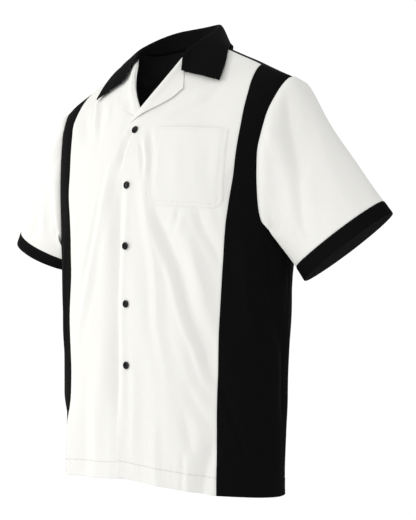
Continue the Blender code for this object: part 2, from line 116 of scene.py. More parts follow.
def facing(tree, direction, heading, low, high):
    """0 to 1 as a direction turns towards a heading, between two cosines."""
    dot = tree.nodes.new("ShaderNodeVectorMath")
    dot.operation = "DOT_PRODUCT"
    dot.inputs[1].default_value = tuple(Vector(heading).normalized())
    tree.links.new(direction, dot.inputs[0])
    past_low = maths(tree, "SUBTRACT", dot.outputs["Value"], low)
    return maths(tree, "DIVIDE", past_low, high - low, clamp=True)


where = tree.nodes.new("ShaderNodeTexCoord").outputs["Generated"]
behind = facing(tree, where, BACKDROP_HEADING, BACKDROP_RIM, BACKDROP_CORE)
key_side = facing(tree, where, KEY_HEADING, -0.80, 1.00)
shade = maths(tree, "MULTIPLY_ADD", key_side, KEY_SKY, AMBIENT)
room = maths(tree, "MULTIPLY", shade, maths(tree, "SUBTRACT", 1.0, behind))
level = maths(tree, "ADD", room, maths(tree, "MULTIPLY", behind, BACKDROP))
glow = tree.nodes.new("ShaderNodeBackground")
sky = tree.nodes.new("ShaderNodeOutputWorld")
glow.inputs["Color"].default_value = (1, 1, 1, 1)
tree.links.new(level, glow.inputs["Strength"])
tree.links.new(glow.outputs[0], sky.inputs[0])


def lamp(name, at, aim, size, power):
    """A soft rectangular lamp, turned towards a point."""
    data = bpy.data.lights.new(name, "AREA")
    data.shape = "RECTANGLE"
    data.size, data.size_y = size
    data.energy = power
    thing = add_object(name, data)
    thing.location = at
    thing.rotation_euler = (Vector(aim) - Vector(at)).to_track_quat("-Z", "Y").to_euler()


def plain_material(name, colour, roughness, specular):
    """One even finish, for the floor, the threads and the buttons."""
    item = bpy.data.materials.new(name)
    item.use_nodes = True
    shader = item.node_tree.nodes["Principled BSDF"]
    shader.inputs["Base Color"].default_value = (*colour, 1)
    shader.inputs["Roughness"].default_value = roughness
    shader.inputs["Specular IOR Level"].default_value = specular
    return item


lamp("front_lamp", (-1.45, -1.90, 0.55), (0.0, 0.0, -0.35), (0.6, 1.0), 13)
lamp("raking_lamp", (-2.00, -1.25, -0.80), (0.0, 0.0, -0.35), (0.5, 1.0), 11)
lamp("fill_lamp", (1.10, -2.0, -0.60), (0.0, 0.0, -0.20), (0.8, 0.8), 4.5)
circle = np.linspace(0, 2 * math.pi, 64, endpoint=False)
ring = [(FLOOR_RADIUS * math.cos(a), FLOOR_RADIUS * math.sin(a), FLOOR_LEVEL) for a in circle]
floor_mesh = bpy.data.meshes.new("pale_floor")
floor_mesh.from_pydata(ring, [], [list(range(len(ring)))])
floor_mesh.materials.append(plain_material("pale_floor", (0.82, 0.82, 0.82), 0.9, 0.5))
add_object("pale_floor", floor_mesh)
print("lamps and floor are in")

# %% [markdown]
# ## The sizes of the shirt
# A pattern cutter works from a table of girths, heights and seam positions.
# The same tables drive every piece here, so two pieces that are sewn
# together always meet: they are computed from one line.

# %% Sizes in metres
SIDES = ("left", "right")
CLOTH = 0.0013           # one layer
DOUBLE = 0.0018          # collar and cuff bands
SEAM_GAP = 0.0003
CHEST_LEVEL = -0.27      # from here up, the body leans in to the shoulders
RING_POWER = 2.1         # 2 is an ellipse, more is squarer
MID_Y = -0.009
RIDGE_Y = -0.005         # the shoulder seam: where it lies, how it falls, where it starts
RIDGE_SLOPE = 0.487
RIDGE_START = 0.082
NECK_SIDE = 0.079
FRONT_LEAN = ((1.6, 0.80), (2.2, 0.60))     # rise and fall powers near the neck, then near the arm
BACK_LEAN = ((3.5, 0.286), (3.5, 0.286))
BUTTON_LEVELS = (-0.151, -0.244, -0.344, -0.439, -0.540)
CUFF_DEPTH = 0.0238
HEM_TURN = 0.027

BODY = {                 # the horizontal rings of the body
    "level":      (-0.760, -0.600, -0.430, -0.270, -0.150, -0.080, 0.020),
    "half_width": (0.2330, 0.2350, 0.2420, 0.2480, 0.2580, 0.2680, 0.2780),
    "front":      (0.1150, 0.1150, 0.1150, 0.1150, 0.1150, 0.1150, 0.1150),
    "back":       (0.0990, 0.1020, 0.1070, 0.1140, 0.1140, 0.1140, 0.1140),
}
HEM = {                  # hem height against the share of the quarter ring
    "share": (0.0, 0.25, 0.50, 0.75, 1.0),
    "front": (-0.7250, -0.7320, -0.7390, -0.7430, -0.7420),
    "back":  (-0.7440, -0.7440, -0.7435, -0.7425, -0.7420),
}
ARMHOLE = {              # step 1 is the underarm, step 2 the shoulder point
    "step":  (1.0, 1.1, 1.2, 1.3, 1.4, 1.5, 1.6, 1.7, 1.8, 1.9, 2.0),
    "level": (-.330, -.325, -.310, -.286, -.258, -.228, -.196, -.167, -.136, -.106, -.0799),
    "front": (1.0, .845, .742, .714, .700, .689, .680, .687, .697, .717, .742),
    "back":  (1.0, .850, .765, .742, .730, .722, .718, .716, .718, .726, .742),
}
RIGHT_SLIP = {           # the shirt hangs a little over the right shoulder: armhole further out there
    "step":  (1.0, 1.5, 1.7, 1.8, 1.9, 2.0),
    "share": (0.0, 0.0, 0.022, 0.045, 0.062, 0.070),
    "level": (0.0, 0.0, -.003, -.006, -.008, -.0049),
}
PANEL_SEAM = {           # seam between the white front and the black side front
    "step":  (0.0, 0.33, 0.66, 1.0, 1.1, 1.2, 1.4, 1.6, 1.8, 1.9, 2.0),
    "level": (-.739, -.610, -.480, -.345, -.315, -.285, -.228, -.170, -.115, -.084, -.0520),
    "share": (.498, .498, .500, .517, .523, .534, .554, .551, .531, .511, .489),
}
RIGHT_SEAM = {           # on the right the cloth is drawn towards the centre, and its seam with it
    "step":  (0.0, 0.33, 0.50, 0.66, 1.0, 1.1, 1.2, 1.4, 1.6, 1.7, 1.8, 2.0),
    "share": (.010, 0.0, -.022, -.018, -.066, -.072, -.083, -.092, -.058, -.030, 0.0, 0.0),
}
FREE_LINE = {            # centre edge of a front: straight, then along the turn of the lapel
    "step":  (0.0, 1.0, 1.6, 1.7, 1.8, 1.9, 2.0),
    "x":     (-.021, -.021, -.0205, .0025, .0282, .0530, .0790),
    "level": (-.725, -.290, -.1375, -.1134, -.0775, -.0260, .0015),
}
BACK_NECK = {            # neck edge of the back
    "x":     (0.0, 0.020, 0.040, 0.060, 0.079),
    "level": (0.012, 0.0115, 0.0095, 0.0060, 0.0015),
}
LAPEL = {                # the turned part of a front: along the fold and along its free edge
    "step":   (0.0, 0.25, 0.50, 0.75, 1.0),
    "fold_x": (-.0185, .0030, .0290, .0450, .0550),
    "fold_z": (-.1360, -.1125, -.0765, -.0470, -.0235),
    "edge_x": (-.0150, .0060, .0390, .0590, .0758),
    "edge_z": (-.1366, -.1262, -.1122, -.1015, -.0877),
}
COLLAR = {               # half of the collar, centre back to front end
    "station": (0.0, 0.16, 0.32, 0.50, 0.68, 0.84, 1.0),
    "neck_x":  (0.000, 0.036, 0.0565, 0.0690, 0.0675, 0.0560, 0.0640),
    "neck_y":  (0.0640, 0.051, 0.031, 0.0020, -.0210, -.0390, -.0575),
    "neck_z":  (0.0130, 0.0095, 0.0035, -.0010, -.0080, -.0235, -.0560),
    "roll_x":  (0.000, 0.040, 0.063, 0.0735, 0.0700, 0.0600, 0.0740),
    "roll_y":  (0.076, 0.066, 0.042, 0.0040, -.0200, -.0385, -.0560),
    "roll_z":  (0.0485, 0.0462, 0.0352, 0.0145, -.0005, -.0180, -.0600),
    "edge_x":  (0.000, 0.050, 0.088, 0.1160, 0.1310, 0.1360, 0.1370),
    "edge_y":  (0.090, 0.080, 0.046, 0.0020, -.0250, -.0380, -.0440),
    "edge_z":  (0.0000, -.0020, -.0035, -.0130, -.0430, -.0660, -.0845),
}
POCKET = {               # the patch on the left breast: x from edge to edge, levels on both edges
    "inner_x": 0.0430, "outer_x": 0.1780,
    "top_inner": -0.1500, "top_outer": -0.1640,
    "low_inner": -0.2790, "low_outer": -0.2910,
    "corner": 0.020,
}
SLEEVE = {               # cuff ring of each sleeve: centre, half axes, hang
    "side":     SIDES,
    "centre_x": (0.3470, 0.3310),
    "centre_y": (0.000, 0.0100),
    "centre_z": (-.3525, -.3480),
    "long":     (0.0903, 0.0820),
    "short":    (0.0430, 0.0470),
    "tilt":     (33.0, 23.0),
    "turn":     (0.20, 0.10),
}

print("sizes for", len(BODY["level"]), "body rings and", len(ARMHOLE["step"]), "armhole steps")

# %% [markdown]
# A short table becomes a smooth line with a monotone curve: it passes through
# every row of the table and never swings past one, as a flexible ruler does.

# %% Curves through tables
def hermite(a, lead, b, trail, t):
    """From a to b, setting off along lead and arriving along trail."""
    return ((2 * t**3 - 3 * t**2 + 1) * a + (t**3 - 2 * t**2 + t) * lead
            + (3 * t**2 - 2 * t**3) * b + (t**3 - t**2) * trail)


def curve(keys, values, at):
    """Smooth curve through a short table, with no overshoot."""
    k, v = np.asarray(keys, float), np.asarray(values, float)
    at = np.clip(np.asarray(at, float), k[0], k[-1])
    step = np.diff(k)
    rise = np.diff(v) / step
    slope = np.zeros_like(v)
    for i in range(1, len(v) - 1):
        if rise[i - 1] * rise[i] > 0:
            w1, w2 = 2 * step[i] + step[i - 1], step[i] + 2 * step[i - 1]
            slope[i] = (w1 + w2) / (w1 / rise[i - 1] + w2 / rise[i])
    slope[0], slope[-1] = rise[0], rise[-1]
    i = np.clip(np.searchsorted(k, at, side="right") - 1, 0, len(step) - 1)
    t = (at - k[i]) / step[i]
    return hermite(v[i], step[i] * slope[i], v[i + 1], step[i] * slope[i + 1], t)


def travelled(points, axis=0):
    """Distance along each line of points, from its start."""
    steps = np.linalg.norm(np.diff(points, axis=axis), axis=-1)
    return np.concatenate([np.zeros_like(np.take(steps, [0], axis)), np.cumsum(steps, axis)], axis)


def unit(vectors):
    """Vectors cut or stretched to length 1."""
    return vectors / np.maximum(np.linalg.norm(vectors, axis=-1, keepdims=True), 1e-12)


def ease(t):
    """0 below 0, 1 above 1, and a soft S between them."""
    t = np.clip(t, 0.0, 1.0)
    return t * t * (3 - 2 * t)


print("a quarter of the way, the soft step has risen", ease(0.25))

# %% [markdown]
# ## The worn surface
# Below the chest the body is a stack of rounded rings. Above it each slice
# leans in to the shoulder seam. A point is named by its share round the half
# ring and its level, and the same call gives the front or the back.

# %% Body surface
def ridge(x):
    """Level of the shoulder seam, which falls evenly from the neck to the arm."""
    return -RIDGE_SLOPE * (np.abs(x) - RIDGE_START)


def half_width(level):
    """Half the body's width from side to side."""
    return curve(BODY["level"], BODY["half_width"], level)


def ridge_level(share):
    """Level of the shoulder seam above a share of the ring."""
    sine = np.sin(np.asarray(share, float) * math.pi / 2)
    level = np.full_like(sine, -0.04)
    for _ in range(8):
        level = ridge(half_width(level) * sine)
    return level


def torso(share, level, face):
    """A point of the body: face -1 is the front, 1 the back."""
    share, level = np.asarray(share, float), np.asarray(level, float)
    ring = np.minimum(level, CHEST_LEVEL)
    depth = curve(BODY["level"], BODY["front" if face < 0 else "back"], ring)
    sine = np.sin(share * math.pi / 2)
    x = half_width(level) * sine
    across = np.maximum(1 - np.abs(sine) ** RING_POWER, 0) ** (1 / RING_POWER)
    y = MID_Y + face * depth * across
    high = np.clip((level - CHEST_LEVEL) / (ridge(x) - CHEST_LEVEL), 0, 1)
    near, far = FRONT_LEAN if face < 0 else BACK_LEAN
    mix = ease((np.abs(x) - 0.125) / 0.115)
    rise, fall = near[0] + (far[0] - near[0]) * mix, near[1] + (far[1] - near[1]) * mix
    lean = (1 - high ** rise) ** fall
    y = np.where(level > CHEST_LEVEL, RIDGE_Y + (y - RIDGE_Y) * lean, y)
    return np.stack(np.broadcast_arrays(x, y, level), -1)


def torso_normal(share, level, face):
    """Which way the body faces at a point, from its neighbours a small step away."""
    d = 1e-3
    share, level = np.asarray(share, float), np.asarray(level, float)
    level = np.minimum(level, ridge_level(share) - 2e-3)
    across = torso(share + d, level, face) - torso(share - d, level, face)
    side = np.abs(share) > 1 - d
    flat = np.zeros(share.shape + (3,))
    flat[..., 1] = -face * np.sign(share)
    across = np.where(side[..., None], flat, across)
    up = torso(share, level + d, face) - torso(share, level - d, face)
    n = unit(np.cross(across, up))
    return n * (-face)


def share_of(x, level):
    """The share round the half ring at which the body has this x."""
    return np.arcsin(np.clip(x / half_width(level), -1, 1)) * 2 / math.pi


def hem(share, face):
    """Level of the lower edge."""
    return curve(HEM["share"], HEM["front" if face < 0 else "back"], np.abs(share))


CHEST = sum(travelled(torso(np.linspace(-1, 1, 200), CHEST_LEVEL, face))[-1] for face in (-1, 1))
print("chest", round(CHEST, 3), "m round before the folds")

# %% [markdown]
# ## The lines the cloth is cut along
# Steps run from 0 at the hem to 1 at the underarm and 2 at the shoulder, on
# every line, so a row of points on one panel meets the same row on the next.

# %% Cutting lines
def side_line(step, face, side):
    """Side seam up to the underarm, then the armhole."""
    share = curve(ARMHOLE["step"], ARMHOLE["front" if face < 0 else "back"], step)
    low = hem(1.0, face) + (ARMHOLE["level"][0] - hem(1.0, face)) * step
    level = np.where(step <= 1, low, curve(ARMHOLE["step"], ARMHOLE["level"], step))
    if side == "right":
        share = share + curve(RIGHT_SLIP["step"], RIGHT_SLIP["share"], step)
        level = level + curve(RIGHT_SLIP["step"], RIGHT_SLIP["level"], step)
    share = np.where(step <= 1, 1.0, share)
    return share, np.where(step >= 2, ridge_level(share), level)


def seam_line(step, side):
    """Seam between the white front and the black inset."""
    share = curve(PANEL_SEAM["step"], PANEL_SEAM["share"], step)
    if side == "right":
        share = share + curve(RIGHT_SEAM["step"], RIGHT_SEAM["share"], step)
    level = curve(PANEL_SEAM["step"], PANEL_SEAM["level"], step)
    top = ridge_level(share)
    return share, np.where(step >= 2, top, np.minimum(level, top))


def free_line(step):
    """Centre edge of a front."""
    x = curve(FREE_LINE["step"], FREE_LINE["x"], step)
    level = curve(FREE_LINE["step"], FREE_LINE["level"], step)
    share = share_of(x, level)
    top = ridge_level(share)
    return share, np.where(step >= 2, top, np.minimum(level, top))


def between(first, second, s, t):
    """Grid [row t][column s] of (share, level) between two lines, the top row on the shoulder seam."""
    (a0, b0), (a1, b1) = first(t), second(t)
    share = a0[:, None] + (a1 - a0)[:, None] * s[None, :]
    level = b0[:, None] + (b1 - b0)[:, None] * s[None, :]
    top = ridge_level(share)
    level = np.where((t >= 2)[:, None], top, np.minimum(level, top))
    return share, level


HALF_GAP = SEAM_GAP / 2 + 0.00005
SEAM_DRAW = HALF_GAP * 1.4
RIDGE_NORMAL = unit(np.array([RIDGE_SLOPE, 0.0, 1.0]))
SIDE_EDGE = {side: partial(side_line, face=-1, side=side) for side in SIDES}
PANEL_EDGE = {side: partial(seam_line, side=side) for side in SIDES}


def pull(grid, side, distance=SEAM_DRAW, ring=False):
    """Draw one edge of a grid back along the cloth, so that two pieces never touch at their seam."""
    grid = grid.copy()
    if side in ("first", "last"):
        edge, next_in = (grid[:, 0], grid[:, 1]) if side == "first" else (grid[:, -1], grid[:, -2])
    else:
        edge, next_in = (grid[0], grid[1]) if side == "bottom" else (grid[-1], grid[-2])
    inward = unit(next_in - edge)
    if ring:
        along = unit(np.roll(edge, -1, 0) - np.roll(edge, 1, 0))
    else:
        along = unit(np.gradient(edge, axis=0))
    sine = np.linalg.norm(np.cross(inward, along), axis=-1, keepdims=True)
    edge += inward * distance / np.maximum(sine, 0.3)
    return grid


def back_grid(s, t):
    """Back from side to side: column shares scaled to the armhole, rows from hem to neck and shoulder."""
    ends = {side: side_line(t, 1, side) for side in SIDES}
    left = s[None, :] >= 0
    edge_share = np.where(left, ends["left"][0][:, None], ends["right"][0][:, None])
    edge_level = np.where(left, ends["left"][1][:, None], ends["right"][1][:, None])
    share = s[None, :] * edge_share
    seam = ridge_level(share[-1])
    top_x = half_width(seam) * np.sin(share[-1] * math.pi / 2)
    top = np.where(np.abs(top_x) >= NECK_SIDE - 1e-6, seam,
                   curve(BACK_NECK["x"], BACK_NECK["level"], np.abs(top_x)))
    low = hem(s, 1)
    armpit = (ARMHOLE["level"][0] - 0.015 * (1 - np.abs(s) ** 4))[None, :]
    above = (edge_level - ARMHOLE["level"][0]) / (edge_level[-1] - ARMHOLE["level"][0])
    level = np.where(t[:, None] <= 1, low[None] + (armpit - low[None]) * t[:, None],
                     armpit + (top[None] - armpit) * above)
    return share, level


def grid_normal(grid):
    """Which way a grid faces: columns to the right, rows upwards, seen from outside."""
    return unit(np.cross(np.gradient(grid, axis=1), np.gradient(grid, axis=0)))


def collar_grid(stations, inside, outside):
    """Half collar: each column runs neck seam, up the stand, over the roll, down the leaf."""
    columns = []
    for u in stations:
        neck, roll, edge = (
            np.array([float(curve(COLLAR["station"], COLLAR[part + "_" + axis], u)) for axis in "xyz"])
            for part in ("neck", "roll", "edge"))
        flat = edge - neck
        flat[2] *= 0.3
        flat = flat / np.linalg.norm(flat)
        rise = np.linalg.norm(roll - neck)
        turn = flat * min(0.013, 0.8 * rise)
        up = hermite(neck, (roll - neck) * 1.1, roll, turn, inside[:, None])
        down = hermite(roll, turn * 1.1, edge, edge - roll, outside[:, None])
        columns.append(np.concatenate([up, down]))
    return np.stack(columns, 1)


print("pieces keep", round(2 * HALF_GAP * 1000, 2), "mm apart at a seam, at least")

# %% [markdown]
# ## Sleeves
# A set-in sleeve starts on the armhole loop and ends in the cuff ring. The
# tube between them bulges a little over the seam, where the sleeve head is
# eased in, then runs nearly straight to the cuff.

# %% Sleeve surface
def arm_loop(u, side):
    """Armhole point at u: 0 shoulder, 0.5 underarm, round the back first."""
    u = np.asarray(u, float) % 1.0
    step = np.where(u <= 0.5, 2 - 2 * u, 2 * u)
    back = torso(*side_line(step, 1, side), 1)
    front = torso(*side_line(step, -1, side), -1)
    return np.where((u <= 0.5)[..., None], back, front)


def arm_loop_normal(u, side):
    """Which way the body faces along the armhole."""
    u = np.asarray(u, float) % 1.0
    step = np.where(u <= 0.5, 2 - 2 * u, 2 * u)
    back = torso_normal(*side_line(step, 1, side), 1)
    front = torso_normal(*side_line(step, -1, side), -1)
    n = np.where((u <= 0.5)[..., None], back, front)
    return np.where((step > 1.999)[..., None], RIDGE_NORMAL, n)


def cuff_ring(side, u):
    """The sleeve's end: an oval ring, and the way the sleeve hangs there."""
    i = SLEEVE["side"].index(side)
    centre = np.array([SLEEVE["centre_x"][i], SLEEVE["centre_y"][i], SLEEVE["centre_z"][i]])
    tilt = math.radians(SLEEVE["tilt"][i])
    outward = np.array([math.cos(tilt), 0.0, math.sin(tilt)])
    hang = unit(np.array([math.sin(tilt), SLEEVE["turn"][i], -math.cos(tilt)]))
    across = np.cross(hang, outward)
    angle = np.asarray(u, float) * 2 * math.pi
    ring = (centre + outward * np.cos(angle)[..., None] * SLEEVE["long"][i]
            - across * np.sin(angle)[..., None] * SLEEVE["short"][i])
    return ring, hang


def sleeve(side, u, w):
    """Sleeve surface on the wearer's left; the right one is mirrored later."""
    u, t = np.asarray(u, float), np.asarray(w, float)[..., None]
    start = arm_loop(u, side)
    end, hang = cuff_ring(side, u)
    reach = np.linalg.norm(end - start, axis=-1, keepdims=True)
    lead = unit(end - start)
    base = hermite(start, reach * lead, end, reach * unit(lead + 0.5 * hang), t)
    top = 0.5 + 0.5 * np.cos(2 * math.pi * u)[..., None]
    cap = (0.007 + 0.003 * top) * (t / 0.10) * np.exp(1 - t / 0.10) * (1 - t)
    return base + arm_loop_normal(u, side) * cap


def sleeve_normal(side, u, w):
    d = 2e-3
    u, w = np.asarray(u, float), np.asarray(w, float)
    around = sleeve(side, u + d, w) - sleeve(side, u - d, w)
    along = sleeve(side, u, np.minimum(w + d, 1)) - sleeve(side, u, np.maximum(w - d, 0))
    return unit(np.cross(along, around))


def mirror(grid):
    """The same cloth on the other side of the body."""
    return grid * np.array([-1.0, 1.0, 1.0])


def on_side(side, *grids):
    """Grids worked out for the wearer's left, mirrored when they are for the right."""
    return [mirror(grid) if side == "right" else grid for grid in grids]


def arm_seam_normal(side, u):
    """Half way between the body's facing and the sleeve's, for both sides of the armhole seam."""
    return unit(unit(arm_loop_normal(u, side) + sleeve_normal(side, u, np.full_like(u, 0.03))))


def cuff_start(side, u):
    """Share of the sleeve's length where the band begins, so that the band is one depth all round."""
    w = np.linspace(0, 1, 81)
    line = sleeve(side, np.repeat(u[:, None], 81, 1), np.repeat(w[None], len(u), 0))
    return np.array([np.interp(length[-1] - CUFF_DEPTH, length, w) for length in travelled(line, 1)])


print("the left band begins at", cuff_start("left", np.array([0.0, 0.5])).round(3), "of the sleeve")

# %% [markdown]
# ## Folds
# Cloth that hangs from shoulders never lies flat: it sinks between the points
# that hold it and rises beside each sink. Every fold here has its own line on
# the surface, its own depth and a width for each flank, steep on one side and
# slack on the other. All pieces ask the same fold function how far to move,
# so a fold runs across a seam without opening it.

